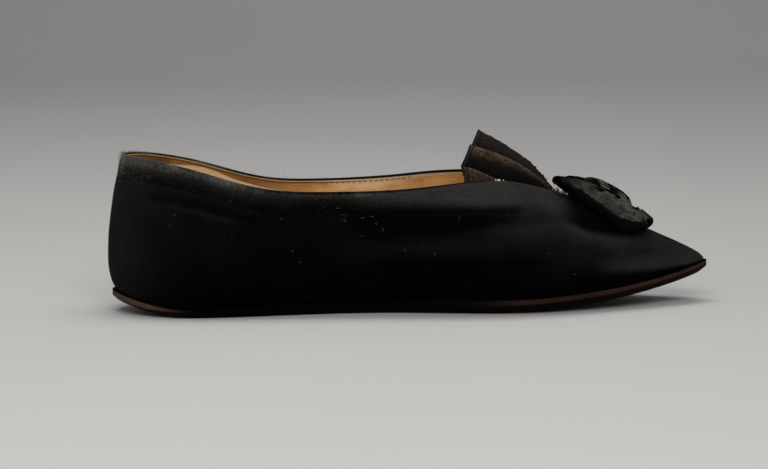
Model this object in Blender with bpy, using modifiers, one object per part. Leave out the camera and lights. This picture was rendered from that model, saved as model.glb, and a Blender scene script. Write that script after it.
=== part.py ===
"""A flat cloth slipper: thin leather sole, hollow cloth upper, insole, pleated ribbon fan and ribbon bow.

The heel is at -X and the toe at +X. The last is straight, so the two sides are the same.
The sizes below are in millimetres, with X counted from the back of the heel.
"""

import math

import bmesh
import bpy
import numpy as np

MM = 0.001
FIT_GAP = 0.3

# Sole: a flat plate from HEEL_FLAT to BALL_FLAT that lifts towards the heel and towards the toe.
# Its side is upright for SOLE_SIDE and then slants in to the underside.
SOLE_BACK = 1.6
SOLE_TIP = 241.9
SOLE_SIDE = 2.4
SOLE_SLANT = 1.6
HEEL_FLAT = 30.0
HEEL_LIFT = 6.0
HEEL_CURVE = 1.5
BALL_FLAT = 146.0
TOE_SPRING = 12.9
TOE_CURVE = 2.1
SOLE_SHAPE = (  # x, half_width, thick
    (SOLE_BACK, 0.0, 3.4), (9.0, 14.2, 3.4), (20.0, 20.2, 3.4), (36.0, 22.8, 3.4), (60.0, 21.2, 3.5),
    (86.0, 19.0, 3.9), (110.0, 20.8, 4.9), (130.0, 25.4, 5.7), (150.0, 29.2, 5.9), (166.0, 30.0, 5.9),
    (184.0, 27.6, 5.8), (202.0, 22.4, 5.2), (218.0, 16.0, 4.6), (231.0, 10.2, 4.3), (SOLE_TIP, 0.0, 4.1))

# Upper: the topline, and how the wall swells from the sole and leans in to the topline.
WALL = 1.6
FEATHER_INSET = 1.3
TOP_BACK = 6.0
TOP_FRONT = 188.5
TOPLINE = (  # x, half_width, height
    (TOP_BACK, 0.0, 62.8), (12.0, 11.4, 62.5), (20.0, 16.4, 61.2), (36.0, 20.2, 57.4), (52.0, 22.0, 52.7),
    (67.0, 22.9, 50.0), (84.0, 23.8, 49.4), (100.0, 25.0, 49.6), (116.0, 25.8, 50.4), (130.0, 25.2, 51.7),
    (143.0, 22.4, 52.6), (154.0, 18.2, 52.4), (166.0, 12.8, 50.1), (176.0, 8.4, 47.2), (184.0, 4.4, 44.3),
    (TOP_FRONT, 0.0, 42.4))
WALL_SHAPE = (  # sole_x, top_x, belly_out, belly_up, lean_out, lean_down
    (SOLE_BACK, TOP_BACK, 5.5, 10.5, 4.8, 20.5),
    (20.0, 19.0, 7.5, 9.5, 6.0, 20.0),
    (50.0, 50.0, 10.5, 6.0, 6.5, 19.0),
    (85.0, 84.0, 13.5, 4.5, 6.0, 17.0),
    (115.0, 112.0, 13.0, 6.0, 8.0, 16.0),
    (140.0, 133.0, 11.5, 11.0, 11.5, 12.5),
    (165.0, 152.0, 10.5, 14.5, 14.5, 8.5),
    (190.0, 167.0, 8.0, 14.0, 17.5, 8.5),
    (212.0, 178.0, 5.0, 10.5, 20.0, 9.5),
    (230.0, 185.4, 2.4, 6.5, 23.0, 10.8),
    (SOLE_TIP, TOP_FRONT, 0.8, 4.2, 25.5, 11.4))
SPREAD_BIAS = 12.0

# Insole.
INSOLE_THICK = 1.4
INSOLE_GAP = 0.7

# Fan: pleats that spread from the front of the throat to a free edge arched over the instep.
FAN_THICK = 0.9
FAN_CLEAR = 0.55
FAN_SINK = 1.2
FAN_FRONT_X = 185.2
FAN_BACK_X = 143.2
FAN_SKEW = 2.2
FAN_BULGE = 0.8
FAN_RIDGE = ((183.4, 43.4), (175.0, 51.0), (165.0, 59.0), (156.6, 65.3), (148.5, 70.6))  # x, height
FAN_DEPTH_FRONT = 0.3
FAN_DEPTH_BACK = 3.2
FAN_ARCH = 0.85
FAN_FOLDS = (  # share of the way from the side to the ridge, depth of the fold
    (0.0, 0.0), (0.06, 0.2), (0.12, 0.0), (0.19, 1.0), (0.32, 0.5), (0.46, 0.0), (0.53, 1.0), (0.75, 0.4),
    (1.0, 0.0))

# Bow: its middle sits on the vamp, in a frame that slopes with the crown of the toe.
BOW_X = 198.2
BOW_RIBBON = 0.8
LOOP_GATHER = 7.6
LOOP_SPREAD = 19.2
LOOP_REACH_EDGE = 13.0
LOOP_REACH_MIDDLE = 25.5
LOOP_START = 2.2
LOOP_PINCH = 2.5
LOOP_PUFF = 3.6
LOOP_TAPER = 0.5
LOOP_DROOP = 4.0
LOOP_ROUND = 0.7
KNOT_LENGTH = 22.0
KNOT_HEIGHT = 9.4
KNOT_WIDTH = 9.0
KNOT_BAND = 1.3
KNOT_ROUND = 0.8

# Mesh fineness, and how finely a curve is sampled to measure it.
HALF_STATIONS = 38
WALL_STEPS = 11
FAN_STEPS = 8
FAN_ARCH_STEPS = 10
LOOP_PATH_STEPS = 22
LOOP_WIDTH_STEPS = 10
KNOT_STEPS = 28
SAMPLES = 201
NUDGE = 1e-4
WELD = 0.01

COLOURS = {
    "sole_leather": (0.16, 0.062, 0.035),
    "black_cloth": (0.011, 0.010, 0.010),
    "pale_kid": (0.55, 0.36, 0.19),
    "brown_ribbon": (0.055, 0.030, 0.018),
    "black_ribbon": (0.014, 0.016, 0.014),
}


def spline(knots, values, mirror):
    """The smooth curve through the rows, carried on past both ends as an even (1) or odd (-1) shape."""
    knots, values = np.array(knots, float), np.array(values, float)
    x = np.concatenate([2 * knots[0] - knots[:0:-1], knots, 2 * knots[-1] - knots[-2::-1]])
    y = np.concatenate([mirror * values[:0:-1], values, mirror * values[-2::-1]])
    step = np.diff(x)
    slope = np.diff(y) / step
    system = np.eye(len(x))
    bend = np.zeros(len(x))
    for i in range(1, len(x) - 1):
        system[i, i - 1:i + 2] = step[i - 1], 2 * (step[i - 1] + step[i]), step[i]
        bend[i] = 6 * (slope[i] - slope[i - 1])
    curve = np.linalg.solve(system, bend)

    def value(at):
        i = np.clip(np.searchsorted(x, at) - 1, 0, len(step) - 1)
        left, right = np.asarray(at) - x[i], x[i + 1] - np.asarray(at)
        cubic = (curve[i] * right ** 3 + curve[i + 1] * left ** 3) / (6 * step[i])
        linear = (y[i] / step[i] - curve[i] * step[i] / 6) * right
        return cubic + linear + (y[i + 1] / step[i] - curve[i + 1] * step[i] / 6) * left

    return value


def column(table, index):
    return [row[index] for row in table]


def turn(x, back, front):
    """The angle, 0 at the back and pi at the front, that stands for x on a loop with round ends."""
    share = np.clip((np.asarray(x, float) - back) / (front - back), 0.0, 1.0)
    return np.arccos(1.0 - 2.0 * share)


SOLE_TURNS = turn(column(SOLE_SHAPE, 0), SOLE_BACK, SOLE_TIP)
SOLE_HALF_WIDTH = spline(SOLE_TURNS, column(SOLE_SHAPE, 1), -1)
SOLE_THICK = spline(SOLE_TURNS, column(SOLE_SHAPE, 2), 1)
TOP_TURNS = turn(column(TOPLINE, 0), TOP_BACK, TOP_FRONT)
TOP_HALF_WIDTH = spline(TOP_TURNS, column(TOPLINE, 1), -1)
TOP_HEIGHT = spline(TOP_TURNS, column(TOPLINE, 2), 1)
WALL_TURNS = turn(column(WALL_SHAPE, 0), SOLE_BACK, SOLE_TIP)
TOP_X, BELLY_OUT, BELLY_UP, LEAN_OUT, LEAN_DOWN = (
    spline(WALL_TURNS, column(WALL_SHAPE, index), 1) for index in range(1, 6))


def sole_x(angle):
    return SOLE_BACK + (SOLE_TIP - SOLE_BACK) * (1.0 - math.cos(angle)) / 2.0


def sole_bottom(x):
    """Height of the sole's underside above the floor."""
    heel = max(0.0, (HEEL_FLAT - x) / (HEEL_FLAT - SOLE_BACK))
    toe = max(0.0, (x - BALL_FLAT) / (SOLE_TIP - BALL_FLAT))
    return HEEL_LIFT * heel ** HEEL_CURVE + TOE_SPRING * toe ** TOE_CURVE


def sole_normal(angle):
    """Direction out of the sole's outline, in plan, on the +Y side."""
    run = sole_x(angle + NUDGE) - sole_x(angle - NUDGE)
    spread = SOLE_HALF_WIDTH(angle + NUDGE) - SOLE_HALF_WIDTH(angle - NUDGE)
    length = math.hypot(run, spread)
    return np.array([-spread / length, run / length, 0.0])


def sole_point(angle, inset, above):
    """A point `inset` inside the sole's outline and `above` its upper face."""
    rim = np.array([sole_x(angle), float(SOLE_HALF_WIDTH(angle)), 0.0]) - inset * sole_normal(angle)
    rim[2] = sole_bottom(rim[0]) + float(SOLE_THICK(angle)) + above
    return rim


def top_point(angle):
    """The topline point that the wall reaches from the sole at this angle."""
    x = float(np.clip(TOP_X(angle), TOP_BACK, TOP_FRONT))
    top = turn(x, TOP_BACK, TOP_FRONT)
    return np.array([x, float(TOP_HALF_WIDTH(top)), float(TOP_HEIGHT(top))])


def wall_point(angle, rise):
    """A point of the upper's outer face on the +Y side: rise 0 at the sole, 1 at the topline."""
    base = sole_point(angle, FEATHER_INSET, FIT_GAP)
    top = top_point(angle)
    out = sole_normal(angle)
    spread = SPREAD_BIAS * out + (base - top) * (1, 1, 0)
    spread /= np.linalg.norm(spread)
    up = np.array([0.0, 0.0, 1.0])
    belly = base + BELLY_OUT(angle) * out + BELLY_UP(angle) * up
    lean = top + LEAN_OUT(angle) * spread - LEAN_DOWN(angle) * up
    fall = 1.0 - rise
    return fall ** 3 * base + 3 * fall ** 2 * rise * belly + 3 * fall * rise ** 2 * lean + rise ** 3 * top


def wall_normal(angle, rise):
    """Direction out of the upper's outer face on the +Y side."""
    along = wall_point(angle + NUDGE, rise) - wall_point(angle - NUDGE, rise)
    upward = wall_point(angle, rise) - wall_point(angle, rise - NUDGE)
    normal = np.cross(upward, along)
    return normal / np.linalg.norm(normal)


HEEL_BACK = min(wall_point(0.0, rise)[0] for rise in np.linspace(0.0, 1.0, SAMPLES))
CENTRE_X = (HEEL_BACK + SOLE_TIP) / 2.0


def placed(point):
    """From millimetres in front of the heel to metres about the middle of the length."""
    return (point[0] - CENTRE_X) * MM, point[1] * MM, point[2] * MM


def round_loop(half):
    """A closed loop from the heel along +Y to the toe and back along -Y, from a function of the angle."""
    side = [half(math.pi * i / HALF_STATIONS) for i in range(HALF_STATIONS + 1)]
    return side + [point * (1, -1, 1) for point in side[-2:0:-1]]


def add_mesh(name, bm, collection, colour):
    """Make the object from bm, with its faces turned outwards and its own material."""
    bmesh.ops.recalc_face_normals(bm, faces=bm.faces[:])
    mesh = bpy.data.meshes.new(name)
    bm.to_mesh(mesh)
    bm.free()
    obj = bpy.data.objects.new(name, mesh)
    collection.objects.link(obj)
    material = bpy.data.materials.new(colour)
    material.use_nodes = True
    shader = material.node_tree.nodes["Principled BSDF"]
    shader.inputs["Base Color"].default_value = (*COLOURS[colour], 1.0)
    shader.inputs["Roughness"].default_value = 0.8
    mesh.materials.append(material)
    return obj


def add_grid(bm, rows, closed):
    """Quads between neighbouring rows of points; closed joins the end of each row to its start."""
    grid = [[bm.verts.new(placed(point)) for point in row] for row in rows]
    for lower, upper in zip(grid, grid[1:]):
        count = len(lower)
        for i in range(count if closed else count - 1):
            j = (i + 1) % count
            bm.faces.new((lower[i], lower[j], upper[j], upper[i]))
    return grid


def add_plate(name, loops, collection, colour):
    """A solid from loops stacked upwards, closed below and above by strips across the foot."""
    bm = bmesh.new()
    grid = add_grid(bm, loops, closed=True)
    for loop in (grid[0], grid[-1]):
        bm.faces.new((loop[0], loop[1], loop[-1]))
        for i in range(1, HALF_STATIONS - 1):
            bm.faces.new((loop[i], loop[i + 1], loop[-i - 1], loop[-i]))
        bm.faces.new((loop[HALF_STATIONS - 1], loop[HALF_STATIONS], loop[HALF_STATIONS + 1]))
    return add_mesh(name, bm, collection, colour)


def thicken(obj, thickness, offset):
    solidify = obj.modifiers.new("thickness", "SOLIDIFY")
    solidify.thickness = thickness * MM
    solidify.offset = offset
    solidify.use_quality_normals = True


def sole_under(angle):
    """The edge of the sole's flat underside."""
    drop = float(SOLE_THICK(angle)) - SOLE_SIDE
    edge = sole_point(angle, SOLE_SLANT * drop, 0.0)
    edge[2] = sole_bottom(edge[0])
    return edge


def build_outsole(collection):
    loops = [round_loop(sole_under)]
    loops += [round_loop(lambda angle: sole_point(angle, 0.0, above)) for above in (-SOLE_SIDE, 0.0)]
    add_plate("outsole", loops, collection, "sole_leather")


def build_insole(collection):
    inset = FEATHER_INSET + WALL + INSOLE_GAP
    levels = (FIT_GAP, FIT_GAP + INSOLE_THICK)
    loops = [round_loop(lambda angle: sole_point(angle, inset, above)) for above in levels]
    add_plate("insole", loops, collection, "pale_kid")


def build_upper(collection):
    bm = bmesh.new()
    rises = np.linspace(0.0, 1.0, WALL_STEPS + 1)
    add_grid(bm, [round_loop(lambda angle: wall_point(angle, rise)) for rise in rises], closed=True)
    thicken(add_mesh("upper", bm, collection, "black_cloth"), WALL, -1.0)


def throat_edge(x):
    """A point just inside the upper's edge on the +Y side of the throat, where the fan is sewn."""
    angles = np.linspace(math.pi / 2, math.pi, SAMPLES)
    angle = float(np.interp(x, [float(TOP_X(a)) for a in angles], angles))
    edge = wall_point(angle, 1.0) - WALL * wall_normal(angle, 1.0)
    return edge - (0.0, FAN_CLEAR, FAN_SINK)


def fan_row(along, side):
    """Half an arch of the fan, from the throat's edge to the ridge, as outer and inner points."""
    back = FAN_BACK_X + side * FAN_SKEW
    edge = throat_edge(FAN_FRONT_X + (back - FAN_FRONT_X) * along)
    places = np.linspace(0.0, 1.0, len(FAN_RIDGE))
    ridge_x, ridge_z = (float(np.interp(along, places, column(FAN_RIDGE, index))) for index in (0, 1))
    depth = FAN_DEPTH_FRONT + (FAN_DEPTH_BACK - FAN_DEPTH_FRONT) * along
    shares = np.unique(np.concatenate([column(FAN_FOLDS, 0), np.linspace(0.0, 1.0, FAN_ARCH_STEPS + 1)]))
    outer, inner = [], []
    for share in shares:
        tilt = share * math.pi / 2
        lift = math.sin(tilt) ** FAN_ARCH
        x = edge[0] + (ridge_x - edge[0]) * lift - FAN_BULGE * along * math.sin(2 * tilt)
        arch = np.array([x, side * edge[1] * math.cos(tilt), edge[2] + (ridge_z - edge[2]) * lift])
        inwards = -np.array([0.0, side * math.cos(tilt), math.sin(tilt)])
        fold = depth * float(np.interp(share, column(FAN_FOLDS, 0), column(FAN_FOLDS, 1)))
        outer.append(arch + inwards * fold)
        inner.append(arch + inwards * (fold + FAN_THICK))
    return outer, inner


def build_fan(collection):
    """A shell of pleats: each row is an arch from one side of the throat over the ridge to the other."""
    outer, inner = [], []
    for along in np.linspace(0.0, 1.0, FAN_STEPS + 1):
        halves = fan_row(along, 1), fan_row(along, -1)
        for rows, index in ((outer, 0), (inner, 1)):
            rows.append(halves[0][index] + halves[1][index][-2::-1])
    bm = bmesh.new()
    faces = [add_grid(bm, rows, closed=False) for rows in (outer, inner)]
    rims = [[row[0] for row in face] + face[-1][1:] + [row[-1] for row in face[-2::-1]] + face[0][-2:0:-1]
            for face in faces]
    for i in range(len(rims[0])):
        j = (i + 1) % len(rims[0])
        bm.faces.new((rims[0][i], rims[0][j], rims[1][j], rims[1][i]))
    add_mesh("throat_fan", bm, collection, "brown_ribbon")


def crown(x):
    """Height of the vamp's middle line at x."""
    line = np.array([wall_point(math.pi, rise) for rise in np.linspace(1.0, 0.0, SAMPLES)])
    return float(np.interp(x, line[:, 0], line[:, 2]))


CROWN_REACH = KNOT_LENGTH / 2
CROWN_SLOPE = math.atan2(crown(BOW_X - CROWN_REACH) - crown(BOW_X + CROWN_REACH), 2 * CROWN_REACH)
BOW_SEAT = max(crown(BOW_X + step) + step * math.tan(CROWN_SLOPE)
               for step in np.linspace(-CROWN_REACH, CROWN_REACH, KNOT_STEPS))


def bow_point(down, across, up):
    """From the bow's own frame (down the toe, across the foot, up off the vamp) to the shoe's."""
    x = BOW_X + down * math.cos(CROWN_SLOPE) + up * math.sin(CROWN_SLOPE)
    return np.array([x, across, BOW_SEAT - down * math.sin(CROWN_SLOPE) + up * math.cos(CROWN_SLOPE)])


def build_bow_loop(name, side, collection):
    """One loop: the ribbon leaves the knot underneath, folds back over itself and returns on top."""
    middle = FIT_GAP + KNOT_HEIGHT / 2
    knot_edge = KNOT_WIDTH / 2 + FIT_GAP
    rows = []
    for path in np.linspace(0.0, 1.0, LOOP_PATH_STEPS + 1):
        away = math.sin(math.pi * path) ** LOOP_ROUND
        row = []
        for width in np.linspace(-1.0, 1.0, LOOP_WIDTH_STEPS + 1):
            reach = LOOP_REACH_EDGE + (LOOP_REACH_MIDDLE - LOOP_REACH_EDGE) * math.sqrt(1.0 - width ** 2)
            across = knot_edge + (reach - knot_edge) * away
            down = width * (LOOP_GATHER + (LOOP_SPREAD - LOOP_GATHER) * away ** LOOP_ROUND)
            droop = LOOP_DROOP * (across / LOOP_REACH_MIDDLE) ** 2
            puff = LOOP_PINCH + (LOOP_PUFF - LOOP_PINCH) * away ** LOOP_ROUND
            puff *= 1.0 - LOOP_TAPER * width ** 2
            row.append(bow_point(down, side * across, middle - droop - puff * math.cos(math.pi * path)))
        rows.append(row)
    inside = (0.0, side * (knot_edge - LOOP_START), 0.0)
    rows = [[point - inside for point in rows[0]], *rows, [point - inside for point in rows[-1]]]
    bm = bmesh.new()
    add_grid(bm, rows, closed=False)
    thicken(add_mesh(name, bm, collection, "black_ribbon"), BOW_RIBBON, 0.0)


def oval(angle, length, height):
    """A point of a squared oval about the middle of the knot, as (down, up)."""
    swing = math.cos(angle), math.sin(angle)
    shares = [math.copysign(abs(part) ** KNOT_ROUND, part) for part in swing]
    return shares[0] * length / 2, shares[1] * height / 2


def build_bow_knot(collection):
    """The ribbon band round the middle of the bow: an oval ring with a rounded back."""
    middle = FIT_GAP + KNOT_HEIGHT / 2
    section = (  # share of the half width, share of the band's thickness
        (-1.0, 1.0), (-1.0, 0.5), (-0.7, 0.1), (0.0, 0.0), (0.7, 0.1), (1.0, 0.5), (1.0, 1.0))
    rows = []
    for across, deep in section:
        inset = 2 * deep * KNOT_BAND
        row = []
        for step in range(KNOT_STEPS):
            down, up = oval(2 * math.pi * step / KNOT_STEPS, KNOT_LENGTH - inset, KNOT_HEIGHT - inset)
            row.append(bow_point(down, across * KNOT_WIDTH / 2, middle + up))
        rows.append(row)
    bm = bmesh.new()
    add_grid(bm, [*rows, rows[0]], closed=True)
    bmesh.ops.remove_doubles(bm, verts=bm.verts[:], dist=WELD * MM)
    add_mesh("bow_knot", bm, collection, "black_ribbon")


def main():
    for obj in list(bpy.data.objects):
        bpy.data.objects.remove(obj)
    slipper = bpy.data.collections.new("slipper")
    bpy.context.scene.collection.children.link(slipper)
    build_outsole(slipper)
    build_upper(slipper)
    build_insole(slipper)
    build_fan(slipper)
    build_bow_loop("bow_loop_left", 1, slipper)
    build_bow_loop("bow_loop_right", -1, slipper)
    build_bow_knot(slipper)


main()
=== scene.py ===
import math

import bmesh
import bpy
import numpy as np
from mathutils import Matrix, Vector, noise
from mathutils.bvhtree import BVHTree


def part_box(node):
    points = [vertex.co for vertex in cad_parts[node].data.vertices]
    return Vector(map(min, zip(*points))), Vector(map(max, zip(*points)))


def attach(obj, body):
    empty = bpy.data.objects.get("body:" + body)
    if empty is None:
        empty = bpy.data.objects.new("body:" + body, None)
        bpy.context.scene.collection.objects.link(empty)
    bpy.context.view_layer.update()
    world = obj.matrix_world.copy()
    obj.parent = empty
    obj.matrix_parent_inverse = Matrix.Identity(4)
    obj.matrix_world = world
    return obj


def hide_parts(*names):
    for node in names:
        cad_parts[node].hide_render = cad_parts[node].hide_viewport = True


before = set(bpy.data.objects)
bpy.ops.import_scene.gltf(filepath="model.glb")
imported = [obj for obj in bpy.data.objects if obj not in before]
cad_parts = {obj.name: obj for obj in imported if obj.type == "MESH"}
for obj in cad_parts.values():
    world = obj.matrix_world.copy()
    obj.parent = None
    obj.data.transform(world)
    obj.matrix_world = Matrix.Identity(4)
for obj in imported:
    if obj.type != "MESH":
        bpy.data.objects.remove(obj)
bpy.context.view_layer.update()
mm = 0.001

# the last and the sole, in millimetres: x from the back of the heel, y to the wearer's left, z up
shoe = {
    "fitGap": 0.3, "wall": 1.6, "featherInset": 1.3, "spreadBias": 12.0,
    "soleBack": 1.6, "soleTip": 241.9, "soleSide": 2.4, "soleSlant": 1.6,
    "heelFlat": 30.0, "heelLift": 6.0, "heelCurve": 1.5,
    "ballFlat": 146.0, "toeSpring": 12.9, "toeCurve": 2.1,
    "topBack": 6.0, "topFront": 188.5,
    "sole": [  # x, half width, thickness
        (1.6, 0.0, 3.4), (9.0, 14.2, 3.4), (20.0, 20.2, 3.4), (36.0, 22.8, 3.4), (60.0, 21.2, 3.5),
        (86.0, 19.0, 3.9), (110.0, 20.8, 4.9), (130.0, 25.4, 5.7), (150.0, 29.2, 5.9), (166.0, 30.0, 5.9),
        (184.0, 27.6, 5.8), (202.0, 22.4, 5.2), (218.0, 16.0, 4.6), (231.0, 10.2, 4.3), (241.9, 0.0, 4.1)],
    "topline": [  # x, half width, height
        (6.0, 0.0, 62.8), (12.0, 11.4, 62.5), (20.0, 16.4, 61.2), (36.0, 20.2, 57.4), (52.0, 22.0, 52.7),
        (67.0, 22.9, 50.0), (84.0, 23.8, 49.4), (100.0, 25.0, 49.6), (116.0, 25.8, 50.4), (130.0, 25.2, 51.7),
        (143.0, 22.4, 52.6), (154.0, 18.2, 52.4), (166.0, 12.8, 50.1), (176.0, 8.4, 47.2), (184.0, 4.4, 44.3),
        (188.5, 0.0, 42.4)],
    "walls": [  # x at the sole, x at the top, belly out, belly up, lean out, lean down
        (1.6, 6.0, 5.5, 10.5, 4.8, 20.5), (20.0, 19.0, 7.5, 9.5, 6.0, 20.0),
        (50.0, 50.0, 10.5, 6.0, 6.5, 19.0), (85.0, 84.0, 13.5, 4.5, 6.0, 17.0),
        (115.0, 112.0, 13.0, 6.0, 8.0, 16.0),
        (140.0, 133.0, 11.5, 11.0, 11.5, 12.5), (165.0, 152.0, 10.5, 14.5, 14.5, 8.5),
        (190.0, 167.0, 8.0, 14.0, 17.5, 8.5), (212.0, 178.0, 5.0, 10.5, 20.0, 9.5),
        (230.0, 185.4, 2.4, 6.5, 23.0, 10.8), (241.9, 188.5, 0.8, 4.2, 25.5, 11.4)],
}
centreX = shoe["soleTip"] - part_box("outsole")[1].x / mm
nudge = 1e-4
up = np.array([0.0, 0.0, 1.0])


# curves and vectors

def curveThrough(knots, values, mirror):
    # a smooth curve that goes on past both ends as an even (1) or odd (-1) shape
    knots, values = np.array(knots, float), np.array(values, float)
    x = np.concatenate([2 * knots[0] - knots[:0:-1], knots, 2 * knots[-1] - knots[-2::-1]])
    y = np.concatenate([mirror * values[:0:-1], values, mirror * values[-2::-1]])
    step = np.diff(x)
    slope = np.diff(y) / step
    system = np.eye(len(x))
    bend = np.zeros(len(x))
    for i in range(1, len(x) - 1):
        system[i, i - 1:i + 2] = step[i - 1], 2 * (step[i - 1] + step[i]), step[i]
        bend[i] = 6 * (slope[i] - slope[i - 1])
    curl = np.linalg.solve(system, bend)

    def value(at):
        i = np.clip(np.searchsorted(x, at) - 1, 0, len(step) - 1)
        left, right = at - x[i], x[i + 1] - at
        cubic = (curl[i] * right ** 3 + curl[i + 1] * left ** 3) / (6 * step[i])
        linear = (y[i] / step[i] - curl[i] * step[i] / 6) * right
        return cubic + linear + (y[i + 1] / step[i] - curl[i + 1] * step[i] / 6) * left

    return value


def turn(x, back, front):
    # the angle, 0 at the back and pi at the front, that stands for x on a loop with round ends
    share = np.clip((np.asarray(x, float) - back) / (front - back), 0.0, 1.0)
    return np.arccos(1.0 - 2.0 * share)


def xyz(x, y, z):
    return np.stack(np.broadcast_arrays(x, y, z), axis=-1).astype(float)


def unit(vectors):
    return vectors / np.linalg.norm(vectors, axis=-1, keepdims=True)


def smooth(value, low, high):
    # 0 at low, 1 at high, eased between
    t = np.clip((value - low) / (high - low), 0.0, 1.0)
    return t * t * (3.0 - 2.0 * t)


def hump(value, middle, width):
    return np.exp(-((value - middle) / width) ** 2)


def flecks(points, size, seed):
    # smooth noise from -1 to 1 at each point, with lumps of about this size in millimetres
    flat = points.reshape(-1, 3) / size + seed * 7.31
    return np.array([noise.noise(Vector(p)) for p in flat]).reshape(points.shape[:-1])


def reachAlong(line):
    # how far along a line each of its points lies
    return np.concatenate([[0.0], np.linalg.norm(np.diff(line, axis=0), axis=1).cumsum()])


def placesOn(line, reach, places):
    # the points of a line at these distances along it
    return np.stack([np.interp(places, reach, column) for column in line.T], axis=-1)


# the shape of the last

soleTable, topTable, wallTable = (np.array(shoe[key]) for key in ("sole", "topline", "walls"))
soleTurns = turn(soleTable[:, 0], shoe["soleBack"], shoe["soleTip"])
soleHalfWidth = curveThrough(soleTurns, soleTable[:, 1], -1)
soleThick = curveThrough(soleTurns, soleTable[:, 2], 1)
topTurns = turn(topTable[:, 0], shoe["topBack"], shoe["topFront"])
topHalfWidth = curveThrough(topTurns, topTable[:, 1], -1)
topHeight = curveThrough(topTurns, topTable[:, 2], 1)
wallTurns = turn(wallTable[:, 0], shoe["soleBack"], shoe["soleTip"])
topX, bellyOut, bellyUp, leanOut, leanDown = (curveThrough(wallTurns, row, 1) for row in wallTable.T[1:])


def soleX(angle):
    return shoe["soleBack"] + (shoe["soleTip"] - shoe["soleBack"]) * (1.0 - np.cos(angle)) / 2.0


def soleBottom(x):
    heel = np.maximum(0.0, (shoe["heelFlat"] - x) / (shoe["heelFlat"] - shoe["soleBack"]))
    toe = np.maximum(0.0, (x - shoe["ballFlat"]) / (shoe["soleTip"] - shoe["ballFlat"]))
    return shoe["heelLift"] * heel ** shoe["heelCurve"] + shoe["toeSpring"] * toe ** shoe["toeCurve"]


def soleNormal(angle):
    run = soleX(angle + nudge) - soleX(angle - nudge)
    spread = soleHalfWidth(angle + nudge) - soleHalfWidth(angle - nudge)
    return unit(xyz(-spread, run, 0.0 * run))


def solePoint(angle, inset, above):
    # on the +y side, inside the sole's outline and above its upper face
    rim = xyz(soleX(angle), soleHalfWidth(angle), 0.0) - np.asarray(inset)[..., None] * soleNormal(angle)
    rim[..., 2] = soleBottom(rim[..., 0]) + soleThick(angle) + above
    return rim


def topPoint(angle):
    x = np.clip(topX(angle), shoe["topBack"], shoe["topFront"])
    top = turn(x, shoe["topBack"], shoe["topFront"])
    return xyz(x, topHalfWidth(top), topHeight(top))


def wallHalf(angle, rise):
    base = solePoint(angle, shoe["featherInset"], shoe["fitGap"])
    top = topPoint(angle)
    out = soleNormal(angle)
    spread = unit(shoe["spreadBias"] * out + (base - top) * (1, 1, 0))
    belly = base + bellyOut(angle)[..., None] * out + bellyUp(angle)[..., None] * up
    lean = top + leanOut(angle)[..., None] * spread - leanDown(angle)[..., None] * up
    r = np.asarray(rise)[..., None]
    f = 1.0 - r
    return f ** 3 * base + 3 * f ** 2 * r * belly + 3 * f * r ** 2 * lean + r ** 3 * top


def wallPoint(around, rise):
    # around: 0 at the heel, +-pi at the toe, the sign gives the side; rise: 0 at the sole, 1 at the topline
    side = np.where(around < 0, -1.0, 1.0)
    point = wallHalf(np.abs(around), rise)
    point[..., 1] *= side
    return point


def wallNormal(around, rise):
    angle = np.abs(around)
    along = wallHalf(angle + nudge, rise) - wallHalf(angle - nudge, rise)
    upward = wallHalf(angle, rise) - wallHalf(angle, np.asarray(rise) - nudge)
    normal = unit(np.cross(upward, along))
    normal[..., 1] *= np.where(around < 0, -1.0, 1.0)
    return normal


def wallLength(angle):
    rises = np.linspace(0.0, 1.0, 41)
    line = wallHalf(np.abs(angle)[:, None], rises[None, :])
    return np.linalg.norm(np.diff(line, axis=1), axis=-1).sum(axis=1)


# meshes

def gridFaces(rows, cols, wrapRows=False, wrapCols=False):
    i, j = np.meshgrid(np.arange(rows - (not wrapRows)), np.arange(cols - (not wrapCols)), indexing="ij")
    i, j = i.ravel(), j.ravel()
    pairs = (i, j), (i + 1, j), (i + 1, j + 1), (i, j + 1)
    corners = np.stack([np.stack(pair, axis=1) for pair in pairs], axis=1)
    return (corners[..., 0] % rows) * cols + corners[..., 1] % cols, corners


def addObject(name, data):
    made = bpy.data.objects.new(name, data)
    bpy.context.scene.collection.objects.link(made)
    return made


def addPiece(name, points, faces, finish, nodes, uv=None, marks=None):
    # points in the shoe's millimetres; uv one pair for each face corner; marks one number for each point
    mesh = bpy.data.meshes.new(name)
    place = (np.asarray(points).reshape(-1, 3) - (centreX, 0.0, 0.0)) * mm
    mesh.from_pydata(place.tolist(), [], [list(face) for face in faces])
    if uv is not None:
        layer = mesh.uv_layers.new(name="size")
        layer.data.foreach_set("uv", np.asarray(uv, np.float32).ravel())
    for key, values in (marks or {}).items():
        mark = mesh.attributes.new(key, "FLOAT", "POINT")
        mark.data.foreach_set("value", np.asarray(values, np.float32).ravel())
    mesh.materials.append(finish)
    sheet = bmesh.new()
    sheet.from_mesh(mesh)
    bmesh.ops.remove_doubles(sheet, verts=sheet.verts[:], dist=1e-7)
    bmesh.ops.dissolve_degenerate(sheet, edges=sheet.edges[:], dist=1e-7)
    bmesh.ops.recalc_face_normals(sheet, faces=sheet.faces[:])
    sheet.to_mesh(mesh)
    sheet.free()
    mesh.shade_smooth()
    piece = addObject(name, mesh)
    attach(piece, "root")
    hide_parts(*nodes)
    print("made", name, len(mesh.polygons), "faces")
    return piece


def gridNormals(points, wrapRows=False):
    if wrapRows:
        down = np.roll(points, -1, axis=0) - np.roll(points, 1, axis=0)
    else:
        down = np.gradient(points, axis=0)
    return unit(np.cross(down, np.gradient(points, axis=1)))


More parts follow.
